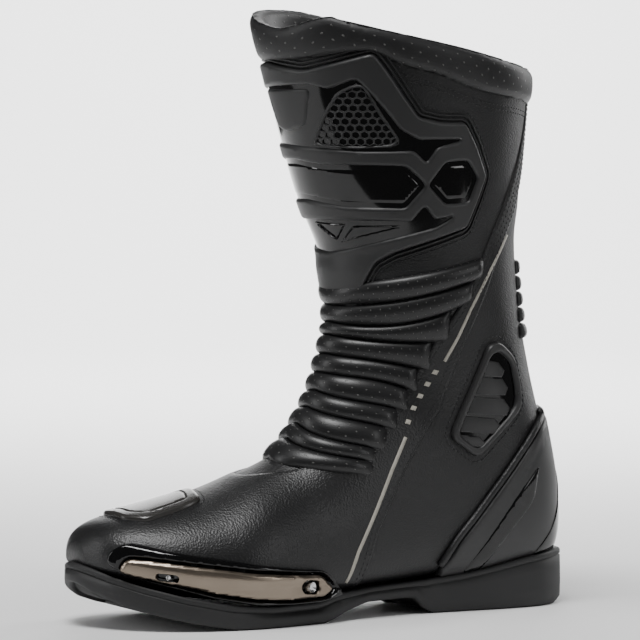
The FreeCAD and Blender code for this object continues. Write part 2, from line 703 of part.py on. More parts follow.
def main():
    nodes = {
        "outsole": make_outsole(),
        "shank": shank_box(0.0),
        "insole_board": make_insole_board(),
        "footbed": make_footbed(),
        "vamp": make_vamp(),
        "quarter_outer": make_quarter(1),
        "quarter_inner": make_quarter(-1),
        "toe_puff": make_toe_puff(),
        "heel_counter": make_heel_counter(),
        "foot_lining": make_lining_foot(),
        "shift_pad": make_shift_pad(),
        "toe_slider_frame": make_toe_frame(),
        "toe_slider_plate": make_toe_plate(),
        "slider_screws": make_slider_screws(),
        "heel_cup": make_heel_cup(),
        "heel_cup_inlays": make_cup_inlays(),
        "heel_cup_piping": make_cup_piping(),
        "ankle_vent": make_ankle_vent(),
        "ankle_guard": make_ankle_guard(),
        "side_band_foot": make_band_foot(),
        "side_band_ankle": make_band_ankle(),
        "side_band_shaft": make_band_shaft(),
        "ankle_gaiter": make_gaiter(),
        "front_flex_panel": make_front_flex(),
        "shaft_outer": make_shaft_side(1),
        "shaft_inner": make_shaft_side(-1),
        "calf_panel": make_calf_panel(),
        "shaft_lining": make_lining_shaft(),
        "collar": make_collar(),
        "shin_plate": make_shin_plate(),
        "shin_plate_trim": make_shin_trim(),
        "shin_vent_mesh": make_shin_mesh(),
        "shin_gloss_panels": make_shin_gloss(),
        "rear_flex_panel": make_rear_flex(),
        "inner_grip_panel": make_grip_panel(),
        "zip_teeth": make_zip_teeth(),
        "zip_tapes": make_zip_tapes(),
        "zip_stops": make_zip_stops(),
        "zip_slider": make_zip_slider(),
        "zip_pull": make_zip_pull(),
        "zip_flap": make_zip_flap(),
        "flap_loop_strip": make_loop_strip(),
        "flap_hook_strip": make_hook_strip(),
        "flap_hem": make_flap_hem(),
    }
    os.makedirs("parts", exist_ok=True)
    box = FreeCAD.BoundBox()
    for name, shape in nodes.items():
        shape.exportStep(f"parts/{name}.step")
        box.add(shape.optimalBoundingBox())
        print(name, len(shape.Solids), shape.isValid(), round(shape.Volume))
    print("box", [round(value, 2) for value in
                  (box.XMin, box.XMax, box.YMin, box.YMax, box.ZMin, box.ZMax)])
    print("ankle", V(0, ORIGIN_S - ANKLE_S, ANKLE_Z))
    print("zip", zip_frame())
    print("pull", pull_centre())
    print("flap", flap_axis())
    print("slide", slide_axis())


main()
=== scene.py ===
import json
import math

import bmesh
import bpy
import numpy as np
from mathutils import Matrix, Vector
from mathutils.bvhtree import BVHTree
from mathutils.interpolate import poly_3d_calc


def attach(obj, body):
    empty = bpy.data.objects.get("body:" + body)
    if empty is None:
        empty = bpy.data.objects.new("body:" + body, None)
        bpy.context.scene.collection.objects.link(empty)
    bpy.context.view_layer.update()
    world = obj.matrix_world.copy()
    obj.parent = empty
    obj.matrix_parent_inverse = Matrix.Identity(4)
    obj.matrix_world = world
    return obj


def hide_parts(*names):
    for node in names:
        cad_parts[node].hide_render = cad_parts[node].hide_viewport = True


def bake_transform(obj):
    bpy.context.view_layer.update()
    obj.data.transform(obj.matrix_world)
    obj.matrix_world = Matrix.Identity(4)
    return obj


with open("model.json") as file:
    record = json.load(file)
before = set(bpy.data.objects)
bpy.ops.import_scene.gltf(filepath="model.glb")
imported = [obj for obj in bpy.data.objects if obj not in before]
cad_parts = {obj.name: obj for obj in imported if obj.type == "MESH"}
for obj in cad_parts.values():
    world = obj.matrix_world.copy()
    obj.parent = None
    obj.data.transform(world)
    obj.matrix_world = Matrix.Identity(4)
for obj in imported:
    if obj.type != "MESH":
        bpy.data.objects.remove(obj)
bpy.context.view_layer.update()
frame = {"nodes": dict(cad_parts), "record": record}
mm = 0.001

# Places are given as s, the distance forward from the back of the heel, x to the outer side and
# z up, all in millimetres; the ankle's pin in the frame says where s lies.
ankle = next(joint for joint in frame["record"]["behaviour"]["joints"]
             if joint["name"] == "ankle_flex")
ankleS = 68.0
heelY = ankle["pos_m"][1] / mm + ankleS


def place(s, x, z):
    return Vector((x, heelY - s, z)) * mm


def smooth(value):
    value = np.clip(value, 0, 1)
    return value * value * (3 - 2 * value)


camera = {"azimuth": 62.4, "elevation": 3.0, "distance": 2.5, "aim": 0.1716, "lens": 241.3}
lamps = {
    "front": {"at": (-.8, -2.1, .9), "size": (.35, 1.7), "power": 13, "aim": (0, 0, .2)},
    "side": {"at": (2.0, 1.3, 1.0), "size": (.4, 1.5), "power": 9, "aim": (0, 0, .18)},
    "top": {"at": (.5, -.6, 2.1), "size": (.9, .8), "power": 44, "aim": (0, 0, .05)},
    "back": {"at": (-.5, 1.7, .9), "size": (.6, 1.4), "power": 16, "aim": (0, 0, .2)},
    "wall": {"at": (-1.42, .74, 2.2), "size": (1.6, 1.6), "power": 230, "aim": (-2.66, 1.39, 1.2)},
}
studio = {"world": .1, "floor": .95, "near": .42, "wallAway": 2.6, "wallHigh": 3.0}


def addCamera():
    turn, rise = math.radians(camera["azimuth"]), math.radians(camera["elevation"])
    aim = Vector((0, 0, camera["aim"]))
    out = Vector((math.sin(turn) * math.cos(rise), -math.cos(turn) * math.cos(rise),
                  math.sin(rise)))
    data = bpy.data.cameras.new("camera")
    data.lens = camera["lens"]
    seen = bpy.data.objects.new("camera", data)
    seen.location = aim + out * camera["distance"]
    seen.rotation_euler = out.to_track_quat("Z", "Y").to_euler()
    bpy.context.collection.objects.link(seen)
    bpy.context.scene.camera = seen


def addLamps():
    for name, lamp in lamps.items():
        data = bpy.data.lights.new(name, "AREA")
        data.shape = "RECTANGLE"
        data.size, data.size_y = lamp["size"]
        data.energy = lamp["power"]
        light = bpy.data.objects.new(name, data)
        light.location = lamp["at"]
        away = Vector(lamp["at"]) - Vector(lamp["aim"])
        light.rotation_euler = away.to_track_quat("Z", "Y").to_euler()
        bpy.context.collection.objects.link(light)
    world = bpy.data.worlds.new("studio")
    world.use_nodes = True
    world.node_tree.nodes["Background"].inputs["Color"].default_value = (1, 1, 1, 1)
    world.node_tree.nodes["Background"].inputs["Strength"].default_value = studio["world"]
    bpy.context.scene.world = world


def addFloor():
    # a floor that curves up into a wall behind the boot
    turn = math.radians(camera["azimuth"])
    away = Vector((-math.sin(turn), math.cos(turn), 0))
    side = Vector((away.y, -away.x, 0))
    profile = [(-studio["near"], 0)] + [(studio["wallAway"] + math.sin(t * math.pi / 16),
                              1 - math.cos(t * math.pi / 16)) for t in range(9)]
    profile.append((studio["wallAway"] + 1, studio["wallHigh"]))
    bm = bmesh.new()
    for reach, height in profile:
        for across in (-studio["floor"], studio["floor"]):
            bm.verts.new(away * reach + side * across + Vector((0, 0, height)))
    bm.verts.ensure_lookup_table()
    for row in range(len(profile) - 1):
        start = 2 * row
        bm.faces.new([bm.verts[start + step] for step in (0, 1, 3, 2)])
    bmesh.ops.recalc_face_normals(bm, faces=bm.faces)
    floor = meshObject("studioFloor", bm)
    floor.data.materials.append(makeFinish("paleFloor", {"colour": (.9, .9, .9), "rough": .8}))


finishes = {
    "blackLeather": {"colour": (.0075, .0075, .008), "rough": .43, "grain": 1100, "deep": .4,
                     "patch": .12},
    "bandLeather": {"colour": (.007, .007, .0075), "rough": .40, "grain": 1000, "deep": .34,
                    "patch": .08},
    "ribLeather": {"colour": (.0085, .0085, .009), "rough": .38, "grain": 1500, "deep": .08,
                   "patch": .1, "holes": .10},
    "collarLeather": {"colour": (.0085, .0085, .009), "rough": .5, "grain": 1300, "deep": .1,
                      "patch": .1, "holes": .11},
    "suede": {"colour": (.016, .016, .017), "rough": .85, "grain": 2600, "deep": .2,
              "patch": .25, "sheen": .3},
    "matteShell": {"colour": (.022, .022, .0225), "rough": .45, "grain": 2400, "deep": .05,
                   "patch": .06},
    "glossShell": {"colour": (.0015, .0015, .0017), "rough": .07, "patch": .03},
    "soleRubber": {"colour": (.014, .014, .0145), "rough": .6, "grain": 2000, "deep": .08,
                   "patch": .15},
    "padRubber": {"colour": (.03, .028, .026), "rough": .24, "grain": 2200, "deep": .05,
                  "patch": .1},
    "bronzeMetal": {"colour": (.27, .225, .18), "rough": .3, "metal": 1.0, "brushed": True,
                    "patch": .12},
    "screwSteel": {"colour": (.72, .72, .72), "rough": .25, "metal": 1.0, "patch": .1},
    "greyFoil": {"colour": (.40, .38, .33), "rough": .45, "patch": .1},
    "thread": {"colour": (.012, .012, .013), "rough": .5, "patch": .1},
    "liningMesh": {"colour": (.012, .012, .013), "rough": .9, "weave": 700, "deep": .3,
                   "patch": .2},
    "foam": {"colour": (.05, .05, .055), "rough": .95, "weave": 900, "deep": .2, "patch": .3},
    "board": {"colour": (.22, .19, .15), "rough": .9, "grain": 1500, "deep": .2, "patch": .3},
    "stiffener": {"colour": (.30, .30, .29), "rough": .6, "patch": .1},
    "steel": {"colour": (.5, .5, .5), "rough": .35, "metal": 1.0, "brushed": True, "patch": .1},
    "zipTape": {"colour": (.012, .012, .012), "rough": .8, "weave": 1200, "deep": .2,
                "patch": .1},
    "zipPlastic": {"colour": (.01, .01, .01), "rough": .3, "patch": .1},
    "blackMetal": {"colour": (.05, .05, .05), "rough": .3, "metal": 1.0, "patch": .1},
    "hookTape": {"colour": (.01, .01, .01), "rough": .95, "grain": 3000, "deep": .5,
                 "patch": .2},
}
madeFinishes = {}


def addNode(tree, kind, inputs, **settings):
    # an input is a value or the output of another node
    made = tree.nodes.new("ShaderNode" + kind)
    for key, value in settings.items():
        setattr(made, key, value)
    for key, value in inputs.items():
        if isinstance(value, bpy.types.NodeSocket):
            tree.links.new(value, made.inputs[key])
        else:
            made.inputs[key].default_value = value
    return made


texture = {"cloud": 38, "tint": 1.6, "bump": .0006, "dent": .0008, "hair": 2600,
           "holeColour": (.11, .11, .105, 1)}


def makeFinish(name, spec=None):
    if name in madeFinishes:
        return madeFinishes[name]
    spec = spec or finishes[name]
    material = bpy.data.materials.new(name)
    material.use_nodes = True
    tree = material.node_tree
    shader = tree.nodes["Principled BSDF"]
    shader.inputs["Metallic"].default_value = spec.get("metal", 0)
    shader.inputs["Sheen Weight"].default_value = spec.get("sheen", 0)
    where = addNode(tree, "TexCoord", {}).outputs["Object"]
    cloud = addNode(tree, "TexNoise", {"Vector": where, "Scale": texture["cloud"], "Detail": 5})

    def wander(middle, share):
        # a value that changes a little from place to place
        return addNode(tree, "MapRange", {
            "Value": cloud.outputs["Fac"], "To Min": middle * (1 - share),
            "To Max": middle * (1 + share)}).outputs["Result"]
    patch = spec.get("patch", 0)
    tree.links.new(wander(spec["rough"], patch), shader.inputs["Roughness"])
    tint = wander(1, texture["tint"] * patch)
    colour = addNode(tree, "VectorMath", {0: spec["colour"], "Scale": tint},
                     operation="SCALE").outputs["Vector"]
    height = normal = None
    if "grain" in spec:
        height = addNode(tree, "TexVoronoi", {"Vector": where, "Scale": spec["grain"]},
                         feature="SMOOTH_F1").outputs["Distance"]
    if "weave" in spec:
        threads = [addNode(tree, "TexWave", {"Vector": where, "Scale": spec["weave"] / 3,
                                             "Distortion": .6}, bands_direction=axis)
                   for axis in "XZ"]
        height = addNode(tree, "Math", {number: wave.outputs["Fac"]
                                        for number, wave in enumerate(threads)},
                         operation="MULTIPLY").outputs["Value"]
    if "brushed" in spec:
        stretch = addNode(tree, "Mapping", {"Vector": where, "Scale": (1, .05, 1)})
        height = addNode(tree, "TexNoise", {"Vector": stretch.outputs["Vector"],
                                            "Scale": texture["hair"],
                                            "Detail": 3}).outputs["Fac"]
    if height is not None:
        normal = addNode(tree, "Bump", {"Height": height, "Strength": spec.get("deep", .08),
                                        "Distance": texture["bump"]}).outputs["Normal"]
    if "holes" in spec:
        colour, normal = addHoles(tree, spec["holes"], colour, normal)
    tree.links.new(colour, shader.inputs["Base Color"])
    if normal is not None:
        tree.links.new(normal, shader.inputs["Normal"])
    madeFinishes[name] = material
    return material


def addHoles(tree, size, colour, normal):
    # one punched hole in the middle of every unit of the piece's own map
    marks = addNode(tree, "UVMap", {}, uv_map="holes")
    unit = addNode(tree, "VectorMath", {0: marks.outputs["UV"]}, operation="FRACTION")
    shift = addNode(tree, "VectorMath", {0: unit.outputs["Vector"], 1: (.5, .5, 0)},
                    operation="SUBTRACT")
    reach = addNode(tree, "VectorMath", {0: shift.outputs["Vector"]}, operation="LENGTH")
    hole = addNode(tree, "MapRange", {"Value": reach.outputs["Value"], "From Min": size,
                                      "From Max": size * .6}).outputs["Result"]
    mix = addNode(tree, "Mix", {"Factor": hole, "A": colour, "B": texture["holeColour"]},
                  data_type="RGBA")
    dent = addNode(tree, "Bump", {"Height": hole, "Strength": .9, "Distance": texture["dent"]},
                   invert=True)
    if normal is not None:
        tree.links.new(normal, dent.inputs["Normal"])
    return mix.outputs["Result"], dent.outputs["Normal"]


def meshObject(name, bm, finish=None, flat=False):
    mesh = bpy.data.meshes.new(name)
    bm.to_mesh(mesh)
    bm.free()
    for polygon in mesh.polygons:
        polygon.use_smooth = not flat
    piece = bpy.data.objects.new(name, mesh)
    bpy.context.collection.objects.link(piece)
    if finish:
        mesh.materials.append(makeFinish(finish))
    return piece


# Sections that fan round a line in front of the ankle, at (210, 215): kind, place, near and far
# distance from that line, place of the widest point, middle, half width, two roundnesses.
stations = [
    ("foot", 303, 167, 180, .60, -10, 12, 2.0, 2.6),
    ("foot", 296, 159, 184, .62, -9, 26, 2.1, 3.0),
    ("foot", 283, 153.5, 189, .66, -7, 36, 2.1, 3.6),
    ("foot", 262, 149, 195, .68, -4, 45, 2.0, 4.0),
    ("foot", 235, 142, 199, .70, -1, 50, 1.9, 4.0),
    ("foot", 210, 133, 201, .70, 1, 50.5, 1.9, 4.0),
    ("fan", 15, 122, 206, .68, 2, 43, 1.9, 4.0),
    ("fan", 30, 104, 226, .62, 1, 39.5, 2.0, 3.6),
    ("fan", 42, 90.5, 261, .60, 0, 38, 2.1, 2.8),
    ("fan", 48, 85, 275, .60, 0, 38, 2.1, 2.4),
    ("fan", 54, 81, 258, .58, 0, 39, 2.1, 2.3),
    ("fan", 60, 77, 235, .55, 0, 41, 2.1, 2.2),
    ("fan", 68, 72, 209, .52, 0, 43.5, 2.1, 2.1),
    ("fan", 78, 66.5, 190, .5, 0, 46, 2.1, 2.1),
    ("fan", 90, 63.5, 182, .5, 0, 48, 2.1, 2.1),
    ("shaft", 238, 53.5, 184, .5, 0, 51.5, 2.1, 2.1),
    ("shaft", 262, 45.5, 185.5, .5, 0, 55, 2.1, 2.1),
    ("shaft", 288, 38, 187.5, .5, 0, 58.5, 2.1, 2.1),
    ("shaft", 312, 32, 189, .5, 0, 62, 2.1, 2.1),
    ("shaft", 334, 26, 189.5, .5, 0, 65, 2.1, 2.1),
    ("shaft", 356, 20, 190.5, .5, 0, 67, 2.1, 2.1),
]
form = {"fanS": 210.0, "fanZ": 215.0, "across": 200, "along": 15}


def ringPoints(station, turn):
    kind, at, near, far, widest, middle, half, roundNear, roundFar = station
    angle = {"foot": 0.0, "fan": math.radians(at), "shaft": math.pi / 2}[kind]
    startS = at if kind == "foot" else form["fanS"]
    startZ = at if kind == "shaft" else form["fanZ"]
    centre = near + widest * (far - near)
    across, along = np.cos(turn), np.sin(turn)
    power = np.where(along > 0, 2 / roundFar, 2 / roundNear)
    reach = np.where(along > 0, far - centre, centre - near)
    out = np.sign(across) * np.abs(across) ** power * half
    away = centre + np.sign(along) * np.abs(along) ** power * reach
    return np.stack([middle + out, heelY - startS + away * math.sin(angle),
                     startZ - away * math.cos(angle)], axis=1) * mm


def through(a, b, c, d, t):
    # a smooth curve from b to c, with their neighbours a and d
    return b + .5 * t * (c - a + t * (2 * a - 5 * b + 4 * c - d + t * (3 * (b - c) + d - a)))


def makeForm():
    # a fine skin through the sections, from which every panel is cut
    turns = np.linspace(0, 2 * np.pi, form["across"] + 1) + np.pi / 2
    rings = [ringPoints(station, turns) for station in stations]
    rings = [2 * rings[0] - rings[1]] + rings + [2 * rings[-1] - rings[-2]]
    rows = []
    for number in range(1, len(rings) - 2):
        a, b, c, d = rings[number - 1:number + 3]
        rows += [through(a, b, c, d, step / form["along"]) for step in range(form["along"])]
    rows.append(rings[-2])
    points = np.concatenate(rows)
    bm = bmesh.new()
    bmesh.ops.create_grid(bm, x_segments=form["across"], y_segments=len(rows) - 1, size=1)
    for vert, point in zip(bm.verts, points):
        vert.co = point
    bmesh.ops.remove_doubles(bm, verts=bm.verts, dist=1e-6)
    rim = [edge for edge in bm.edges if edge.is_boundary and edge.verts[0].co.y < -.1]
    bmesh.ops.holes_fill(bm, edges=rim, sides=0)     # the tip of the toe
    bmesh.ops.recalc_face_normals(bm, faces=bm.faces)
    for face in bm.faces:
        face.smooth = True
    bm.normal_update()
    bm.faces.ensure_lookup_table()
    return bm


skin = makeForm()
skinTree = BVHTree.FromBMesh(skin)
print("form made", len(skin.faces))


def smoothNormal(index, point):
    face = skin.faces[index]
    weights = poly_3d_calc([vert.co for vert in face.verts], point)
    normal = Vector()
    for vert, weight in zip(face.verts, weights):
        normal += vert.normal * weight
    return normal.normalized()


def edgeDistance(outline, points, closed=True):
    outline = np.array(outline, float)
    ends = np.roll(outline, -1, axis=0)
    best = np.full(len(points), 1e9)
    for a, b in list(zip(outline, ends))[:None if closed else -1]:
        run = b - a
        t = np.clip(((points - a) @ run) / max(run @ run, 1e-12), 0, 1)
        best = np.minimum(best, np.linalg.norm(points - a - t[:, None] * run, axis=1))
    return best


def inside(outline, points):
    outline = np.array(outline, float)
    crossings = np.zeros(len(points), int)
    for (ax, ay), (bx, by) in zip(outline, np.roll(outline, -1, axis=0)):
        spans = (ay > points[:, 1]) != (by > points[:, 1])
        level = ax + (points[:, 1] - ay) * (bx - ax) / ((by - ay) or 1e-12)
        crossings += spans & (points[:, 0] < level)
    return crossings % 2 == 1


def depthInside(outline, points):
    distance = edgeDistance(outline, points)
    return np.where(inside(outline, points), distance, -distance)


def rounded(depth, high, radius):
    share = 1 - np.clip(depth / radius, 0, 1)
    return high * np.sqrt(np.clip(1 - share * share, 0, 1))


def roundCorners(outline, radius, steps=3):
    # the outline with each corner turned into a short arc
    result = []
    count = len(outline)
    for number in range(count):
        before, corner, after = (np.array(outline[(number + step) % count], float)
                                 for step in (-1, 0, 1))
        back, on = before - corner, after - corner
        cut = min(radius, .45 * np.linalg.norm(back), .45 * np.linalg.norm(on))
        a = corner + back / np.linalg.norm(back) * cut
        b = corner + on / np.linalg.norm(on) * cut
        for step in range(steps + 1):
            t = step / steps
            result.append(tuple((1 - t) ** 2 * a + 2 * t * (1 - t) * corner + t * t * b))
    return result


def inset(outline, by):
    # the outline moved inwards along its corners' bisectors
    points = np.array(outline, float)
    area = sum(a[0] * b[1] - b[0] * a[1] for a, b in zip(points, np.roll(points, -1, axis=0)))
    result = []
    for before, corner, after in zip(np.roll(points, 1, axis=0), points,
                                     np.roll(points, -1, axis=0)):
        one = (corner - before) / max(np.linalg.norm(corner - before), 1e-9)
        two = (after - corner) / max(np.linalg.norm(after - corner), 1e-9)
        normal = np.array([-one[1] - two[1], one[0] + two[0]]) * (1 if area > 0 else -1)
        size = max(np.linalg.norm(normal), 1e-6)
        normal /= size
        result.append(tuple(corner + normal * by / max(size / 2, .5)))
    return result


def insets(outline, *steps):
    return [inset(outline, by) for by in steps]


def cutLines(bm, lines, near, keep=None):
    # cuts the faces along closed lines, with planes square to the flat (the first two axes)
    faces = list(bm.faces)
    centres = np.array([face.calc_center_median()[:] for face in faces])
    for line in lines:
        corners = [Vector((x, y, 0)) for x, y in line]
        for a, b in zip(corners, corners[1:] + corners[:1]):
            run = b - a
            length = run.length
            if length < 1e-3:
                continue
            run.normalize()
            across = Vector((-run.y, run.x, 0))
            offset = centres - np.array(a[:])
            along = offset @ np.array(run[:])
            close = (abs(offset @ np.array([across.x, across.y, 0])) < near) \
                & (along > -near) & (along < length + near)
            if keep:
                close &= keep(centres)
            chosen = [faces[number] for number in np.nonzero(close)[0]]
            if not chosen:
                continue
            geom = chosen + list({edge for face in chosen for edge in face.edges}) + \
                list({vert for face in chosen for vert in face.verts})
            made = bmesh.ops.bisect_plane(bm, geom=geom, dist=near * .02, plane_co=a,
                                          plane_no=across)["geom"]
            fresh = [part for part in made if isinstance(part, bmesh.types.BMFace)]
            faces = [faces[number] for number in np.nonzero(~close)[0]] + fresh
            centres = np.concatenate([centres[~close],
                                      [face.calc_center_median()[:] for face in fresh]])


def flatSheet(outline, cell, scores):
    outline = [Vector((x, y, 0)) for x, y in outline]
    low = Vector((min(p.x for p in outline) - cell, min(p.y for p in outline) - cell, 0))
    high = Vector((max(p.x for p in outline) + cell, max(p.y for p in outline) + cell, 0))
    bm = bmesh.new()
    wide, tall = high.x - low.x, high.y - low.y
    bmesh.ops.create_grid(bm, x_segments=max(2, int(wide / cell)),
                          y_segments=max(2, int(tall / cell)), size=.5)
    bmesh.ops.scale(bm, vec=(wide, tall, 1), verts=bm.verts)
    bmesh.ops.translate(bm, vec=(low + high) / 2, verts=bm.verts)
    cutLines(bm, [[tuple(point[:2]) for point in outline]] + list(scores), cell * 1.6)
    return bm


def trim(bm, outline, holes=()):
    centres = np.array([face.calc_center_median()[:2] for face in bm.faces])
    kept = inside([(x, y) for x, y in outline], centres)
    for hole in holes:
        kept &= ~inside(hole, centres)
    bmesh.ops.delete(bm, geom=[face for face, stays in zip(bm.faces, kept) if not stays],
                     context="FACES")


ways = {"shaft": {"s": 95.0, "perDegree": 1.08}, "toe": {"s": 215.0, "perDegree": 1.12},
        "instep": {"s": 85.0, "perDegree": 1.0}}


def onSide(side):
    def cast(x, y):
        return place(x, side * 200, y), Vector((-side, 0, 0)), None
    return cast


def onTop(x, y):
    return place(y, x, 200), Vector((0, 0, -1)), None


def around(name, lowest=None):
    spec = ways[name]

    def cast(x, y):
        turn = math.radians(x / spec["perDegree"])
        level = y if lowest is None else max(y, lowest)
        direction = Vector((math.sin(turn), -math.cos(turn), 0))
        drop = None if lowest is None else (y - level) * mm
        return place(spec["s"], 0, level), direction, drop
    return cast


def degrees(name, outline):
    # an outline in degrees round the boot and height, as flat millimetres
    return [(turn * ways[name]["perDegree"], z) for turn, z in outline]


def layOn(x, y, way, lift):
    origin, direction, drop = way(x, y)
    point, normal, index, _ = skinTree.ray_cast(origin, direction)
    if point is None:
        point, normal, index, _ = skinTree.find_nearest(origin + direction * .17)
    normal = smoothNormal(index, point)
    if drop is not None:
        normal = direction.copy()
        point = point + Vector((0, 0, drop))
    return point + normal * lift * mm, normal


def doubled(bm, units=None):
    # adds a second layer to a sheet, and its map; gives that layer's points and all places
    layer = bm.loops.layers.uv.new("holes")
    top = bmesh.ops.extrude_face_region(bm, geom=bm.faces[:], use_keep_orig=True)
    raised = {vert for vert in top["geom"] if isinstance(vert, bmesh.types.BMVert)}
    spots = np.array([vert.co[:] for vert in bm.verts])
    marks = units(spots[:, :2]) if units else spots[:, :2] / 10
    marks = {vert: mark for vert, mark in zip(bm.verts, marks)}
    for face in bm.faces:
        for loop in face.loops:
            loop[layer].uv = marks[loop.vert]
    return raised, spots


def flatPiece(name, finish, outline, way, height, base=.1, sink=.0, cell=1.5, scores=(),
              holes=(), units=None):
    # a closed piece: the sheet laid on the boot, its top raised by the height
    bm = flatSheet(outline, cell, list(scores) + list(holes))
    trim(bm, outline, holes)
    bmesh.ops.remove_doubles(bm, verts=bm.verts, dist=cell * .1)
    return raiseFlat(name, finish, bm, way, height, base, sink, units)


def raiseFlat(name, finish, bm, way, height, base=.1, sink=.0, units=None):
    loose = [vert for vert in bm.verts if not vert.link_faces]
    bmesh.ops.delete(bm, geom=loose, context="VERTS")
    raised, spots = doubled(bm, units)
    points = spots[:, :2]
    heights, sinks = (value(points) if callable(value) else np.full(len(points), float(value))
                      for value in (height, sink))
    for vert, point, high, low in zip(bm.verts, points, heights, sinks):
        lift = base + high if vert in raised else base - low
        vert.co, _ = layOn(*point, way, lift)
    bmesh.ops.recalc_face_normals(bm, faces=bm.faces)
    return meshObject(name, bm, finish)


def skinPiece(name, finish, outlines, height=0.0, base=0.0, thick=2.6, edge=1.0):
    # a closed piece cut from the fine skin with side-on outlines, one for each side
    bm = skin.copy()
    reach = 3.0
    boxes = {side: (min(s for s, z in line) - reach, max(s for s, z in line) + reach,
                    min(z for s, z in line) - reach, max(z for s, z in line) + reach)
             for side, line in outlines.items()}
    for vert in bm.verts:      # into (s, z, x) millimetres
        vert.co = Vector((heelY - vert.co.y / mm, vert.co.z / mm, vert.co.x / mm))
    bmesh.ops.bisect_plane(bm, geom=bm.verts[:] + bm.edges[:] + bm.faces[:], dist=.01,
                           plane_co=(0, 0, 0), plane_no=(0, 0, 1))
    outsideBox = []
    for face in bm.faces:
        centre = face.calc_center_median()
        side = 1 if centre.z > 0 else -1
        if side not in boxes or not (boxes[side][0] < centre.x < boxes[side][1]
                                     and boxes[side][2] < centre.y < boxes[side][3]):
            outsideBox.append(face)
    bmesh.ops.delete(bm, geom=outsideBox, context="FACES")
    for side, line in outlines.items():
        lines = [line] + insets(line, edge * .35, edge)
        cutLines(bm, lines, reach, lambda centres: (centres[:, 2] > 0) == (side > 0))
    centres = np.array([face.calc_center_median()[:] for face in bm.faces])
    keep = np.zeros(len(centres), bool)
    for side, line in outlines.items():
        keep |= inside(line, centres[:, :2]) & ((centres[:, 2] > 0) == (side > 0))
    gone = [face for face, stays in zip(bm.faces, keep) if not stays]
    bmesh.ops.delete(bm, geom=gone, context="FACES")
    bmesh.ops.remove_doubles(bm, verts=bm.verts, dist=.12)
    raised, spots = doubled(bm)
    depth = np.full(len(spots), 1e9)
    for side, line in outlines.items():
        here = spots[:, 2] * side > -.02
        depth = np.where(here, np.minimum(depth, edgeDistance(line, spots[:, :2])), depth)
    heights = height(spots) if callable(height) else np.full(len(spots), float(height))
    heights -= (edge - rounded(depth, edge, edge)) * .8
    for vert, high in zip(bm.verts, heights):
        spot = place(vert.co.x, vert.co.z, vert.co.y)
        point, _, index, _ = skinTree.find_nearest(spot)
        normal = smoothNormal(index, point)
        vert.co = spot + normal * mm * (base + high if vert in raised else base - thick)
    bmesh.ops.recalc_face_normals(bm, faces=bm.faces)
    return meshObject(name, bm, finish)


def alongLine(line, pitch):
    # evenly spaced points and directions along a flat line
    line = [Vector((x, y, 0)) for x, y in line]
    lengths = [(b - a).length for a, b in zip(line, line[1:])]
    total = sum(lengths)
    count = max(1, int(total / pitch))
    for number in range(count):
        target = (number + .5) * total / count
        for a, b, length in zip(line, line[1:], lengths):
            if target <= length:
                yield a.lerp(b, target / length), (b - a).normalized()
                break
            target -= length


def stitchRow(name, line, way, pitch=3.0, offset=0.0, lift=.15, long=1.15, wide=.32):
    # a row of short rounded stitches
    bm = bmesh.new()
    for point, run in alongLine(line, pitch):
        across = Vector((-run.y, run.x, 0)) * offset
        here, normal = layOn(point.x + across.x, point.y + across.y, way, lift)
        ahead, _ = layOn(point.x + across.x + run.x, point.y + across.y + run.y, way, lift)
        along = (ahead - here).normalized()
        side = normal.cross(along).normalized()
        turn = Matrix((along, side, normal)).transposed().to_4x4()
        size = Matrix.Diagonal((long * mm, wide * mm, wide * mm, 1))
        bmesh.ops.create_icosphere(bm, subdivisions=1, radius=1,
                                   matrix=Matrix.Translation(here) @ turn @ size)
    return meshObject(name, bm, "thread")


def joinPieces(name, pieces):
    bm = bmesh.new()
    for piece in pieces:
        bm.from_mesh(piece.data)
    joined = meshObject(name, bm)
    for material in pieces[0].data.materials:
        joined.data.materials.append(material)
    for piece in pieces:
        bpy.data.objects.remove(piece)
    return joined


def cordOn(name, finish, line, way, radius, lift, closed=False):
    # a thin cord laid along a line, such as a piping
    curve = bpy.data.curves.new(name, "CURVE")
    curve.dimensions = "3D"
    curve.bevel_depth = radius * mm
    curve.bevel_resolution = 3
    spline = curve.splines.new("POLY")
    pitch = 1.5
    spots = [layOn(point.x, point.y, way, lift)[0] for point, _ in alongLine(line, pitch)]
    spline.points.add(len(spots) - 1)
    for point, spot in zip(spline.points, spots):
        point.co = (*spot, 1)
    spline.use_cyclic_u = closed
    holder = bpy.data.objects.new(name + "Line", curve)
    bpy.context.collection.objects.link(holder)
    mesh = bpy.data.meshes.new_from_object(holder)
    bpy.data.objects.remove(holder)
    bm = bmesh.new()
    bm.from_mesh(mesh)
    ends = [edge for edge in bm.edges if edge.is_boundary]
    if ends:
        bmesh.ops.holes_fill(bm, edges=ends, sides=0)
    bpy.data.meshes.remove(mesh)
    return meshObject(name, bm, finish)


def bendWithAnkle(piece):
    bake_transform(piece)


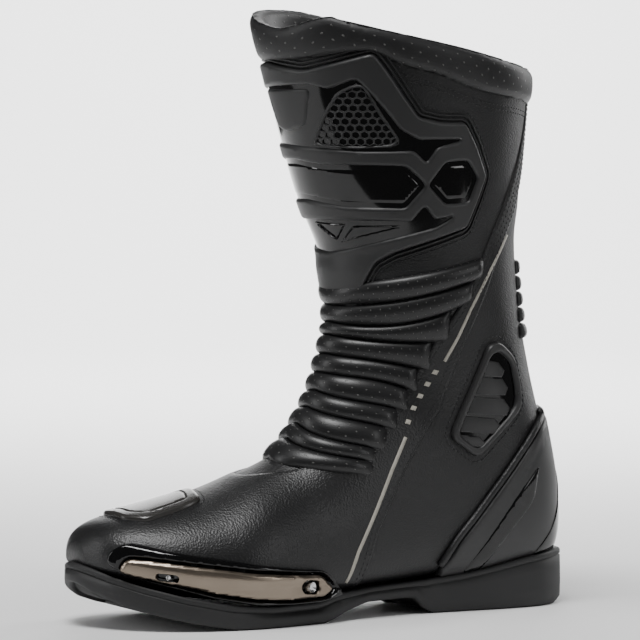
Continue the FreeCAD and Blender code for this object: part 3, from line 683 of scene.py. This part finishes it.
feather = [(303, 33), (296, 29), (283, 24), (262, 18), (235, 14), (210, 12), (157, 14), (97, 17),
           (35, 19), (-20, 20)]
upper = {
    "low": feather,
    "top": [(-20, 298), (20, 298), (51, 302), (76, 308), (109, 316), (139, 325), (147, 328),
            (174, 326), (340, 326)],
    "slit": [(66, 302), (66, 165), (62, 150), (62, 117), (88, 117), (88, 150), (84, 165),
             (84, 309)],
}
band = {
    "rear": [(152, 8), (148, 16), (135, 52), (116, 85), (104, 102), (92, 119), (87, 136),
             (81, 154), (73, 172), (65, 189), (55, 212), (43, 232), (33, 255), (25, 275),
             (18, 297)],
    "front": [(28, 299), (36, 275), (46, 253), (56, 233), (66, 215), (78, 190), (87, 176),
              (97, 161), (109, 137), (125, 113), (138, 96)],
    "low": [(150, 91), (167, 90), (185, 86), (210, 83), (330, 86), (330, -20), (152, -20)],
    "innerRear": [(152, -20), (152, 8), (148, 16), (135, 52), (124, 76), (120, 86)],
    "across": [(150, 89.5), (167, 88.5), (185, 84.5), (203, 81)],
}


def makeUpper():
    low, top, slit = upper["low"], upper["top"], upper["slit"]
    outer = [(340, 33)] + low + top
    inner = [(340, 33)] + low + [point for point in top if point[0] < 66] + slit + \
        [point for point in top if point[0] > 84]
    piece = skinPiece("upperLeather", "blackLeather", {1: outer, -1: inner}, edge=.6)
    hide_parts("quarter_outer", "quarter_inner", "shaft_outer", "shaft_inner",
                "calf_panel", "ankle_gaiter")
    bendWithAnkle(piece)


def makeVamp():
    outer = band["rear"] + band["front"] + band["low"]
    inner = band["innerRear"] + [(138, 92)] + band["low"][:-1]
    piece = skinPiece("vampAndBand", "bandLeather", {1: outer, -1: inner}, base=.05, height=1.1,
                      thick=.4, edge=1.2)
    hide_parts("vamp", "side_band_foot", "side_band_ankle", "side_band_shaft")
    bendWithAnkle(piece)
    seams = [(band["rear"], 1, -1.7), (band["front"], 1, -1.4), (band["rear"], 1, -4.4),
             (band["front"], 1, -4.1), (band["innerRear"][1:], -1, -1.7),
             (band["innerRear"][1:], -1, -4.4), (band["across"], 1, 0)]
    rows = [stitchRow("bandStitch", line, onSide(side), offset=offset, lift=1.2)
            for line, side, offset in seams]
    bendWithAnkle(joinPieces("bandStitches", rows))


reflector = {
    "lower": [(157, 23), (150, 40), (137, 63), (125, 85), (114, 104)],
    "bars": [(112, 111), (108, 119), (104, 126), (100, 133), (96, 140)],
    "upper": [(91, 148), (84, 162), (77, 178), (70, 190), (63, 201), (56, 211), (49, 221)],
}


def makeReflector():
    pieces = []
    for key, wide in (("lower", 1.0), ("upper", .8)):
        line = reflector[key]
        outline = [(s + wide, z + .4) for s, z in line] + \
            [(s - wide, z - .4) for s, z in reversed(line)]
        pieces.append(flatPiece("reflectiveLine", "greyFoil", outline, onSide(1), .2, base=1.15,
                                cell=2.0))
    for s, z in reflector["bars"]:
        slant = [(s + 1.8, z + 1.0), (s + .6, z + 3.4), (s - 2.4, z + 2.6), (s - 1.2, z + .2)]
        pieces.append(flatPiece("reflectiveBar", "greyFoil", slant, onSide(1), .2, base=1.15,
                                cell=1.2))
    bendWithAnkle(joinPieces("reflectiveStrip", pieces))


ribs = {
    "valleys": [(192, 195, 199), (180, 182, 186), (170.5, 169, 172), (163, 160.5, 159.5),
                (152, 148.5, 144), (141, 137, 129), (131, 123.5, 117), (121.5, 112.5, 104),
                (112, 99.5, 94), (103, 92, 86), (93, 84, 80)],
    "side": [(31, 95), (38, 113), (53, 137), (73, 161), (99, 190), (113, 215)],
    "high": 4.2, "rows": 7,
}


def valley(number, turn):
    # height of a valley between two ribs at a turn in degrees from the front
    first, second, third = ribs["valleys"][number]
    turn = abs(turn)
    return first + (second - first) * turn / 30 + \
        (third - 2 * second + first) / 2 * turn / 30 * (turn / 30 - 1)


def sideTurn(z):
    line = ribs["side"]
    return float(np.interp(z, [point[1] for point in line], [point[0] for point in line]))


def makeRibs():
    pieces = []
    for number in range(len(ribs["valleys"]) - 1):
        # where the rib meets the seam on each side
        reach = 20.0
        for _ in range(12):
            reach = sideTurn((valley(number, reach) + valley(number + 1, reach)) / 2)
        turns = np.linspace(-min(reach, 72), reach + 6, 2 + int(reach / 3))
        top = [(turn, valley(number, turn) + .3) for turn in turns]
        low = [(turn, valley(number + 1, turn) - .3) for turn in turns]
        bm = bmesh.new()
        bmesh.ops.create_grid(bm, x_segments=len(turns) * 2, y_segments=ribs["rows"] * 2,
                              size=.5)
        known, shares = [], []
        for vert in bm.verts:
            share, level = vert.co.x + .5, vert.co.y + .5
            turn = turns[0] + share * (turns[-1] - turns[0])
            z = float(np.interp(turn, turns, [point[1] for point in low])) * (1 - level) + \
                float(np.interp(turn, turns, [point[1] for point in top])) * level
            vert.co = (turn, z, 0)
            known.append((turn, z))
            shares.append((share, level))
        known, shares = np.array(known), np.array(shares)

        def sharesAt(points):
            gaps = np.linalg.norm(points[:, None] - known[None], axis=2)
            return shares[gaps.argmin(axis=1)].T

        def height(points):
            share, level = sharesAt(points)
            across = np.clip(1 - abs(2 * level - 1) ** 2.2, 0, 1)
            ends = smooth((.5 - abs(share - .5)) * (turns[-1] - turns[0]) / 8 + .1)
            return .25 + ribs["high"] * across ** .6 * ends

        def units(points):
            level = sharesAt(points)[1]
            along, across = points[:, 0] * .92 / 5.4, level * 4 / 2
            return np.stack([along + across, along - across], axis=1)
        pieces.append(raiseFlat("rib", "ribLeather", bm, around("instep"), height, base=0,
                                sink=.6, units=units))
    piece = joinPieces("ankleRibs", pieces)
    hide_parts("front_flex_panel")
    bendWithAnkle(piece)


collar = {
    "top": [(-104, 334), (-90, 343), (-60, 352), (-30, 352), (-4, 344), (10, 341), (29, 347),
            (36, 345), (58, 338), (91, 330), (141, 319), (180, 316), (220, 322), (249, 331)],
    "low": [(249, 304), (220, 298), (180, 295), (139, 300), (105, 305), (79, 314), (58.6, 320),
            (46, 327), (29, 325), (15, 323), (-4, 322), (-30, 322), (-60, 312), (-90, 306),
            (-104, 303)],
    "out": 3.6, "in": 6.6, "roll": 6.0,
}


def smoothLine(line, steps=5):
    # a smooth line through the points
    points = [np.array(point, float) for point in line]
    points = [2 * points[0] - points[1]] + points + [2 * points[-1] - points[-2]]
    result = []
    for number in range(1, len(points) - 2):
        a, b, c, d = points[number - 1:number + 3]
        result += [tuple(through(a, b, c, d, step / steps)) for step in range(steps)]
    return result + [tuple(points[-2])]


def makeCollar():
    top, low = smoothLine(collar["top"], 3), smoothLine(collar["low"], 3)
    flatTop, flatLow = degrees("shaft", top), degrees("shaft", low)
    outline = flatTop + flatLow

    def height(points):
        depth = edgeDistance(outline, points)
        bulge = .7 * np.sin(np.clip(depth / 14, 0, 1) * math.pi / 2)
        return rounded(depth, collar["out"], collar["roll"]) + bulge - 1.0

    def sink(points):
        depth = edgeDistance(outline, points)
        return rounded(depth, collar["in"], collar["roll"]) - .6

    def units(points):
        rise = np.interp(points[:, 0], [point[0] for point in flatTop],
                         [point[1] for point in flatTop]) - points[:, 1]
        along = points[:, 0] / 8.6
        across = rise / 8.2
        marks = np.stack([along + across, along - across], axis=1)
        far = (rise > 17) | (rise < 3)
        marks[far] = np.round(marks[far])
        return marks
    piece = flatPiece("paddedCollar", "collarLeather", outline, around("shaft"), height,
                      base=.2, sink=sink, cell=2.0, units=units, scores=insets(outline, 1.5, 4))
    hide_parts("collar")
    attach(piece, "shaft")
    seam = degrees("shaft", [(turn, z - 2.5) for turn, z in reversed(low[:22])])
    rows = [stitchRow("collarStitch", seam, around("shaft"), offset=offset, lift=.1)
            for offset in (-3.0, -5.6)]
    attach(joinPieces("collarStitches", rows), "shaft")


plate = {
    "outline": [(-68, 296), (-46, 312), (-27, 321), (-6, 322), (7, 319), (17, 317), (30.5, 321),
                (47, 327), (52.5, 317), (60, 303), (68, 290), (82, 287), (96.4, 287), (105, 274),
                (114.5, 256), (110, 242), (104, 226), (83.5, 220), (54, 212), (41, 206),
                (31.5, 193), (23.5, 182), (0, 184), (-23, 182), (-31, 193), (-41, 206),
                (-62, 216), (-70, 240), (-70, 270)],
    "upper": [(-7, 308), (20, 309), (27, 306), (39, 312), (58, 283), (68, 277), (94, 277),
              (79, 273), (73, 264), (66, 271), (38, 271), (18, 273), (-7, 275), (-30, 276),
              (-50, 280), (-46, 300), (-39, 310), (-27, 306)],
    "middle": [(-45, 262), (-20, 266), (0, 266), (18, 263), (61, 262), (73, 251), (61, 238),
               (26, 239), (0, 243), (-20, 243), (-45, 239), (-55, 251)],
    "rear": [(75, 251), (85, 264), (99.6, 265), (108, 255), (103, 241), (87, 240)],
    "lower": [(0, 231), (21, 231), (65, 230), (73, 239), (80, 231), (93, 233), (82, 227),
              (36, 217), (20, 214), (5, 212), (-20, 214), (-40, 218), (-50, 231), (-21, 231)],
    "tongue": [(19.5, 307), (13.7, 285), (0, 281), (-10, 284), (-18, 307)],
    "comb": [(17, 276), (25, 293), (31, 304), (38, 308), (42, 308), (49, 291), (57, 277),
             (54, 274), (37, 273), (20, 274)],
    "lowVents": [[(-1, 230), (25, 229), (15, 219)], [(29, 228), (65, 228), (17, 217.5)]],
    "frameHigh": 3.4, "baseHigh": 1.7, "round": 1.8,
}


def makeShinPlate():
    way = around("shaft")
    outline = roundCorners(degrees("shaft", plate["outline"]), 3)
    openings = {key: roundCorners(degrees("shaft", plate[key]), 2.5)
                for key in ("upper", "middle", "rear", "lower")}
    base = flatPiece("shinPlateBase", "glossShell", inset(outline, .8), way, plate["baseHigh"],
                     cell=2.0)
    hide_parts("shin_gloss_panels", "shin_vent_mesh")

    def height(points):
        depth = edgeDistance(outline, points)
        for hole in openings.values():
            depth = np.minimum(depth, edgeDistance(hole, points))
        return 1.0 + rounded(depth, plate["frameHigh"] - 1.0, plate["round"])
    scores = insets(outline, .5, 1.8)
    for hole in openings.values():
        scores += insets(hole, -.5, -1.8)
    lattice = flatPiece("shinPlateFrame", "matteShell", outline, way, height, cell=1.8,
                        holes=list(openings.values()), scores=scores)
    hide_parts("shin_plate")

    # raised gloss panels in the middle and the rear
    parts = [base, lattice]
    for key in ("middle", "rear"):
        panel = inset(openings[key], 1.2)

        def panelHeight(points, panel=panel):
            depth = edgeDistance(panel, points)
            return 1.0 + 1.0 * np.clip(depth / 2.2, 0, 1)
        parts.append(flatPiece("shinPanel" + key.title(), "glossShell", panel, way, panelHeight,
                               cell=1.8, scores=[inset(panel, 2.2)]))
    tongue = roundCorners(degrees("shaft", plate["tongue"]), 4)
    parts.append(flatPiece("shinTongue", "matteShell", tongue, way,
                           lambda points: rounded(edgeDistance(tongue, points), 2.6, 2.0),
                           cell=1.6, scores=insets(tongue, .6, 2)))
    for number, shape in enumerate(plate["lowVents"]):
        rim = roundCorners(degrees("shaft", shape), 2)
        gap = inset(rim, 1.3)
        parts.append(flatPiece("shinLowVent" + str(number), "glossShell", rim, way,
                               lambda points, rim=rim, gap=gap: 1.2 + rounded(np.minimum(
                                   edgeDistance(rim, points), edgeDistance(gap, points)), 1.9, .7),
                               cell=1.4, holes=[gap], scores=[inset(rim, .65)]))
    parts.append(makeComb(way))
    for part in parts:
        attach(part, "shaft")
    makeShinTrim(way, outline)


def makeComb(way):
    comb = roundCorners(degrees("shaft", plate["comb"]), 3)
    middle = np.array(comb).mean(axis=0)
    bm = bmesh.new()
    size, wall = 2.55, .78
    for row in range(-12, 13):
        for column in range(-12, 13):
            x = middle[0] + column * size * math.sqrt(3) + (row % 2) * size * math.sqrt(3) / 2
            y = middle[1] + row * size * 1.5
            if not inside(comb, np.array([(x, y)]))[0]:
                continue
            rings = []
            for radius in (size, size * wall):
                rings.append([bm.verts.new((x + radius * math.sin(turn * math.pi / 3),
                                            y + radius * math.cos(turn * math.pi / 3), 0))
                              for turn in range(6)])
            for turn in range(6):
                after = (turn + 1) % 6
                bm.faces.new((rings[0][turn], rings[0][after], rings[1][after], rings[1][turn]))
    bmesh.ops.remove_doubles(bm, verts=bm.verts, dist=.02)
    mesh = raiseFlat("shinComb", "matteShell", bm, way, 1.2, base=1.6)
    outer, hole = insets(comb, -1.2, .9)
    rim = flatPiece("shinCombRim", "matteShell", outer, way,
                    lambda points: 1.2 + rounded(np.minimum(
                        edgeDistance(outer, points), edgeDistance(hole, points)), 2.0, 1.0),
                    cell=1.4, holes=[hole], scores=[comb])
    return joinPieces("shinHoneycomb", [mesh, rim])


def makeShinTrim(way, outline):
    # two pipings and a row of stitches round the plate
    rows = []
    for out, radius in ((1.6, .75), (4.0, .55)):
        edge = inset(outline, -out)
        rows.append(cordOn("shinPiping", "blackLeather", edge + edge[:1], way, radius, .8))
    piping = joinPieces("shinPiping", rows)
    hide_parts("shin_plate_trim")
    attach(piping, "shaft")
    edge = inset(outline, -6.4)
    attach(stitchRow("shinStitches", edge + edge[:1], way, lift=.15), "shaft")


vent = {
    "outline": [(64, 157), (56, 159), (44, 149), (39, 130), (39, 119), (68, 90), (86, 103)],
    "opening": [(62, 151), (56, 153), (46.5, 146), (43, 130), (43, 121), (68, 96), (80.5, 104.5)],
    "slats": [((66, 149), (49, 147), 10), ((69, 138.5), (46, 137.5), 11),
              ((72.5, 127), (44.5, 125.5), 11), ((76.5, 115.5), (50, 114), 10),
              ((80, 105), (60, 103.5), 7)],
}


def makeVent():
    way = onSide(1)
    outline = roundCorners(vent["outline"], 5)
    opening = roundCorners(vent["opening"], 4)
    floor = flatPiece("ventFloor", "glossShell", inset(outline, 1), way, .5, cell=2.0)

    def height(points):
        depth = np.minimum(edgeDistance(outline, points), edgeDistance(opening, points))
        return .5 + rounded(depth, 2.9, 1.7)
    rim = flatPiece("ventRim", "matteShell", outline, way, height, cell=1.3, holes=[opening],
                    scores=insets(outline, .5, 1.6) + insets(opening, -.5, -1.6))
    slats = []
    for (frontS, frontZ), (backS, backZ), tall in vent["slats"]:
        shape = [(frontS + 3, frontZ + .4), (backS + 7, backZ - .6),
                 (backS + 3.5, backZ - tall * .55), (backS + 6, backZ - tall + .6),
                 (frontS + 6, frontZ - tall + 1.2)]

        def slatHeight(points, frontZ=frontZ, tall=tall):
            return .7 + 1.9 * np.clip((frontZ - points[:, 1]) / tall, 0, 1) ** 1.3
        bm = flatSheet(shape, 1.2, [])
        trim(bm, shape)
        trim(bm, inset(opening, -1.2))
        slats.append(raiseFlat("ventSlat", "matteShell", bm, way, slatHeight, base=.2))
    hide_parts("ankle_vent")
    for piece in (floor, rim, joinPieces("ventSlats", slats)):
        bendWithAnkle(piece)
    edge = inset(outline, -3.4)
    bendWithAnkle(stitchRow("ventStitches", edge + edge[:1], way, lift=.15))


cup = {
    "outline": [(-20, 118), (8, 116), (23, 106), (35, 94), (49, 77), (66, 57), (80, 42),
                (90, 27), (90, 19), (71, 21), (59, 22), (31, 26), (0, 28), (-20, 28)],
    "front": [(26, 86), (40, 71), (57, 49), (76, 26), (66, 23), (47, 45), (30, 64)],
    "back": [(4, 93), (-20, 93), (-20, 33), (26, 33), (15, 46), (8, 60), (6, 76)],
    "edge": [(-1, 117), (8, 115.5), (23, 106), (35, 94), (49, 77), (66, 57), (80, 42),
             (90, 27)],
}


def makeHeelCup():
    outline = cup["outline"]

    def height(spots):
        front = edgeDistance(cup["edge"], spots[:, :2], closed=False)
        groove = 1 - smooth(abs(front - 7) / 1.3)
        return 4.0 - .5 * groove
    piece = skinPiece("heelCup", "matteShell", {1: outline, -1: outline}, base=.1, height=height,
                      thick=0, edge=2.4)
    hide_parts("heel_cup")
    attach(piece, "foot")
    inlays = []
    shape = roundCorners(cup["front"], 5)
    for side in (1, -1):
        inlays.append(flatPiece(
            "cupInlay", "glossShell", shape, onSide(side),
            lambda points: rounded(edgeDistance(shape, points), 1.0, 1.6),
            base=3.7, cell=1.4, scores=[inset(shape, .8)]))
    shape = roundCorners(cup["back"], 3)
    inlays.append(skinPiece("cupInlay", "glossShell", {1: shape, -1: shape}, base=3.8, height=.9,
                            thick=0, edge=1.0))
    inlay = joinPieces("heelCupInlays", inlays)
    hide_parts("heel_cup_inlays")
    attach(inlay, "foot")
    cords = [cordOn("cupPiping", "blackLeather", [(s + 1.6, z + 1.4) for s, z in
                                                  smoothLine(cup["edge"][1:], 4)],
                    onSide(side), 2.1, 1.6) for side in (1, -1)]
    piping = joinPieces("heelCupPiping", cords)
    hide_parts("heel_cup_piping")
    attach(piping, "foot")


toe = {
    "frame": [(14, 38), (15, 46), (19, 50.5), (35, 46), (50, 43), (81, 37.5), (114, 33),
              (128, 31.5), (136, 24), (140, 16), (128, 12.5), (110, 12.5), (85, 13.5), (60, 18),
              (40, 24), (25, 30)],
    "plate": [(19, 34), (22, 41.5), (30, 40.5), (50, 37), (81, 32.5), (108, 30), (124, 29),
              (133, 21), (128, 16.5), (105, 16), (85, 17.5), (60, 21.5), (40, 27), (26, 31)],
    "ridge": [(20, 39.5), (50, 32.5), (85, 28), (106, 26.5), (134, 24)],
    "boss": [(106, 30.5), (125, 29), (134, 21), (128, 16.5), (106, 16)],
    "screws": [(38, 31), (118, 22.5)],
    "lowest": 24,
}


def makeToeSlider():
    way = around("toe", toe["lowest"])
    border = roundCorners(degrees("toe", toe["frame"]), 3)
    shape = roundCorners(degrees("toe", toe["plate"]), 2.5)
    seat = inset([(x + (2.6 if x > 110 else 0), y) for x, y in shape], -1.0)

    def frameHeight(points):
        depth = np.minimum(edgeDistance(border, points), edgeDistance(seat, points))
        return np.where(inside(seat, points), 1.6, 3.0 + rounded(depth, 3.4, 1.6))
    piece = flatPiece("toeSliderFrame", "glossShell", border, way, frameHeight, cell=1.3,
                      scores=insets(border, .3, .8, 1.6) + [seat] + insets(seat, -.3, -1.6))
    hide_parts("toe_slider_frame")
    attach(piece, "foot")
    ridge = degrees("toe", toe["ridge"])
    screws = degrees("toe", toe["screws"])
    slots = [[(x + half * math.cos(turn) + (run if math.cos(turn) > 0 else -run),
               y + half * math.sin(turn) - fall * (1 if math.cos(turn) > 0 else -1))
              for turn in np.linspace(0, 2 * math.pi, 24, endpoint=False)]
             for (x, y), half, run, fall in zip(screws, (2.4, 4.1), (3.3, 2.9), (.5, .3))]
    boss = roundCorners(degrees("toe", toe["boss"]), 1.5)

    def plateHeight(points):
        depth = edgeDistance(shape, points)
        side = np.interp(points[:, 0], [x for x, _ in ridge], [y for _, y in ridge])
        fold = edgeDistance(ridge, points, closed=False)
        high = 2.4 + 1.2 * np.clip(depth / 1.6, 0, 1)
        high += np.where(points[:, 1] > side, -.14, -.05) * np.clip(fold - .3, 0, 9)
        raised = smooth(depthInside(boss, points) / 1.6 + 1)
        return np.maximum(high, 0) * (1 - raised) + 3.5 * raised * np.clip(depth / 1.2, .6, 1)
    scores = [inset(shape, 1.6), ridge + ridge[::-1], boss, inset(boss, -1.6)]
    piece = flatPiece("toeSliderPlate", "bronzeMetal", shape, way, plateHeight, base=4.6,
                      cell=1.1, scores=scores, holes=slots)
    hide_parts("toe_slider_plate")
    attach(piece, "toe_slider")
    makeScrews(way, screws)


def makeScrews(way, screws):
    bm = bmesh.new()
    for (x, y), wide, top in zip(screws, (1.9, 3.3), (6.4, 9.2)):
        low, _ = layOn(x, y, way, 3.2)
        high, _ = layOn(x, y, way, top)
        out = (high - low).normalized()
        turn = out.to_track_quat("Z", "Y").to_matrix().to_4x4()
        made = bmesh.ops.create_cone(bm, cap_ends=True, segments=32, radius1=wide * mm,
                                     radius2=(wide - .3) * mm, depth=(high - low).length,
                                     matrix=Matrix.Translation((low + high) / 2) @ turn)
        ends = [face for face in bm.faces if len(face.verts) > 4
                and all(vert in made["verts"] for vert in face.verts)]
        cap = max(ends, key=lambda face: face.calc_center_median().dot(out))
        bmesh.ops.inset_region(bm, faces=[cap], thickness=wide * .45 * mm)
        bmesh.ops.translate(bm, verts=cap.verts, vec=-out * 1.1 * mm)
    piece = meshObject("sliderScrews", bm, "screwSteel", flat=True)
    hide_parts("slider_screws")
    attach(piece, "foot")


pad = {
    "outline": [(16, 236), (18, 246), (18, 272), (8, 282), (-14, 284), (-30, 276), (-32, 256),
                (-26, 238), (-6, 232)],
    "panel": [(11, 243), (12, 268), (4, 276), (-14, 277), (-24, 271), (-26, 256), (-21, 243),
              (-6, 238)],
}


def makePad():
    outline = roundCorners(pad["outline"], 4)
    panel = roundCorners(pad["panel"], 3)

    def height(points):
        depth = edgeDistance(outline, points)
        ring = edgeDistance(panel, points)
        return rounded(depth, 2.4, 2.2) - .7 * (1 - smooth(ring / 1.0))
    piece = flatPiece("shiftPad", "padRubber", outline, onTop, height, base=1.1, sink=.9,
                      cell=1.3,
                      scores=insets(outline, .7, 2.2) + [panel] + insets(panel, 1, -1))
    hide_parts("shift_pad")
    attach(piece, "foot")
    edge = inset(outline, -2.2)
    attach(stitchRow("padStitches", edge + edge[:1], onTop, lift=1.2), "foot")


sole = {
    "outer": [(-5, 0), (-3, 10), (1, 20), (20, 31), (45, 34), (75, 33), (105, 33), (140, 38),
              (175, 48), (212, 55), (243, 53), (270, 44), (292, 27), (306, 4), (308.5, -6)],
    "inner": [(-5, 0), (-3, -10), (1, -19), (20, -30), (45, -33), (75, -32), (110, -29),
              (145, -33), (180, -44), (220, -53), (255, -52), (282, -46), (299, -33),
              (308, -14), (308.5, -6)],
    "low": [(-6, 11), (-4, 6), (0, 2.5), (7, 0), (96, 0), (99, 2), (102, 8), (108, 10),
            (140, 9.5), (160, 4), (170, 0), (232, 0), (255, 4), (275, 9), (290, 14), (303, 21),
            (309, 26)],
    "top": [(-9, 33), (0, 33), (31, 30), (59, 25), (71, 23), (100, 20), (140, 18), (165, 16),
            (176, 13), (210, 12.5), (235, 14.5), (262, 20), (283, 26), (296, 31), (304, 35),
            (309, 37)],
    "bars": [(14, 22), (27, 35), (40, 48), (53, 61), (66, 74), (79, 90), (172, 180), (185, 193),
             (198, 206), (211, 219), (224, 232), (237, 245), (250, 258), (263, 271)],
    # share of the wall's height, set in, change of height
    "wall": [(0, 2.6, 0), (0, .9, .5), (0, 0, 1.8), (.35, -.2, 0), (.68, -.1, 0), (1, 0, -4.4),
             (1, .7, -4.0), (1, .7, -3.6), (1, 0, -3.2), (1, 0, -1.2), (1, .8, -.1),
             (1, 2.2, 0), (1, 9, -.6)],
    "middle": 151.75, "half": 156.75, "spine": (22, 286), "samples": 150, "deep": 2.2,
}


def along(line, s):
    return np.interp(s, [point[0] for point in line], [point[1] for point in line])


def makeSoleBody():
    steps = np.linspace(0, math.pi, sole["samples"] // 2)
    s = sole["middle"] - sole["half"] * np.cos(steps)
    outer, inner = (along(smoothLine(sole[key], 6), s) for key in ("outer", "inner"))
    chain = np.concatenate([s, s[-2:0:-1]])
    edge = np.concatenate([outer, inner[-2:0:-1]])
    spine = (along(sole["outer"], chain) + along(sole["inner"], chain)) / 2
    centre = np.clip(chain, *sole["spine"])
    reach = np.hypot(edge - spine, chain - centre)
    low, top = along(sole["low"], chain), along(sole["top"], chain)
    rings = [(share, low + sole["deep"]) for share in (0, .25, .5, .75, 1 - 6.0 / reach)]
    rings.append((1 - 5.4 / reach, low + .3))
    rings += [(1 - cut / reach, low + (top - low) * share + shift)
              for share, cut, shift in sole["wall"]]
    rings += [(share, top - 2.5) for share in (.6, .3, 0)]
    bm = bmesh.new()
    made = []
    for share, height in rings:
        share = np.clip(share, 0, 1.02)
        points = np.stack([spine + (edge - spine) * share, centre + (chain - centre) * share,
                           height], axis=1)
        made.append([bm.verts.new(place(s, x, z)) for x, s, z in points])
    for first, second in zip(made, made[1:]):
        for number in range(len(first)):
            after = (number + 1) % len(first)
            bm.faces.new((first[number], first[after], second[after], second[number]))
    bmesh.ops.remove_doubles(bm, verts=bm.verts, dist=1e-5)
    bmesh.ops.recalc_face_normals(bm, faces=bm.faces)
    return meshObject("soleBody", bm, "soleRubber")


def makeTread():
    bm = bmesh.new()
    for start, end in sole["bars"]:
        corners = []
        for at in (start, end):
            right, left = along(sole["outer"], at) * .84, along(sole["inner"], at) * .84
            corners += [(at, left), (at, right)]
        levels = [[bm.verts.new(place(at, x, along(sole["low"], at) + rise))
                   for at, x in corners] for rise in (.05, sole["deep"] + .4)]
        order = (0, 1, 3, 2)
        for a, b in zip(order, order[1:] + order[:1]):
            bm.faces.new((levels[0][a], levels[0][b], levels[1][b], levels[1][a]))
        for level in levels:
            bm.faces.new([level[corner] for corner in order])
    bmesh.ops.recalc_face_normals(bm, faces=bm.faces)
    bmesh.ops.bevel(bm, geom=bm.edges[:], offset=.5 * mm, segments=1, affect="EDGES")
    return meshObject("soleBars", bm, "soleRubber", flat=True)


def makeSole():
    piece = joinPieces("outsoleLook", [makeSoleBody(), makeTread()])
    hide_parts("outsole")
    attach(piece, "foot")


def makeRearRibs():
    pieces = []
    for number in range(5):
        low = 159 + number * 9.4
        outline = roundCorners([(-40, low), (34, low), (34, low + 8.8), (-40, low + 8.8)], 2)
        pieces.append(skinPiece("rearRib", "ribLeather", {1: outline, -1: outline}, base=0,
                                height=3.2, thick=.4, edge=3.6))
    piece = joinPieces("rearRibs", pieces)
    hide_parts("rear_flex_panel")
    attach(piece, "shaft")


plainParts = {
    "shank": "steel", "insole_board": "board", "footbed": "foam",
    "toe_puff": "stiffener", "heel_counter": "stiffener", "foot_lining": "liningMesh",
    "shaft_lining": "liningMesh", "ankle_guard": "matteShell", "inner_grip_panel": "suede",
    "zip_teeth": "zipPlastic", "zip_tapes": "zipTape", "zip_stops": "zipPlastic",
    "zip_slider": "blackMetal", "zip_pull": "blackMetal", "zip_flap": "bandLeather",
    "flap_loop_strip": "hookTape", "flap_hook_strip": "hookTape", "flap_hem": "bandLeather",
}


def finishParts():
    for node, finish in plainParts.items():
        part = frame["nodes"][node]
        for number in range(len(part.data.materials)):
            part.data.materials[number] = makeFinish(finish)
        if not part.data.materials:
            part.data.materials.append(makeFinish(finish))


addCamera()
addLamps()
addFloor()
makeUpper()
print("upper made")
makeVamp()
makeReflector()
print("vamp and band made")
makeRibs()
makeRearRibs()
print("ribs made")
makeCollar()
print("collar made")
makeShinPlate()
print("shin plate made")
makeVent()
makeHeelCup()
print("vent and heel cup made")
makeToeSlider()
makePad()
print("toe made")
makeSole()
print("sole made")
finishParts()
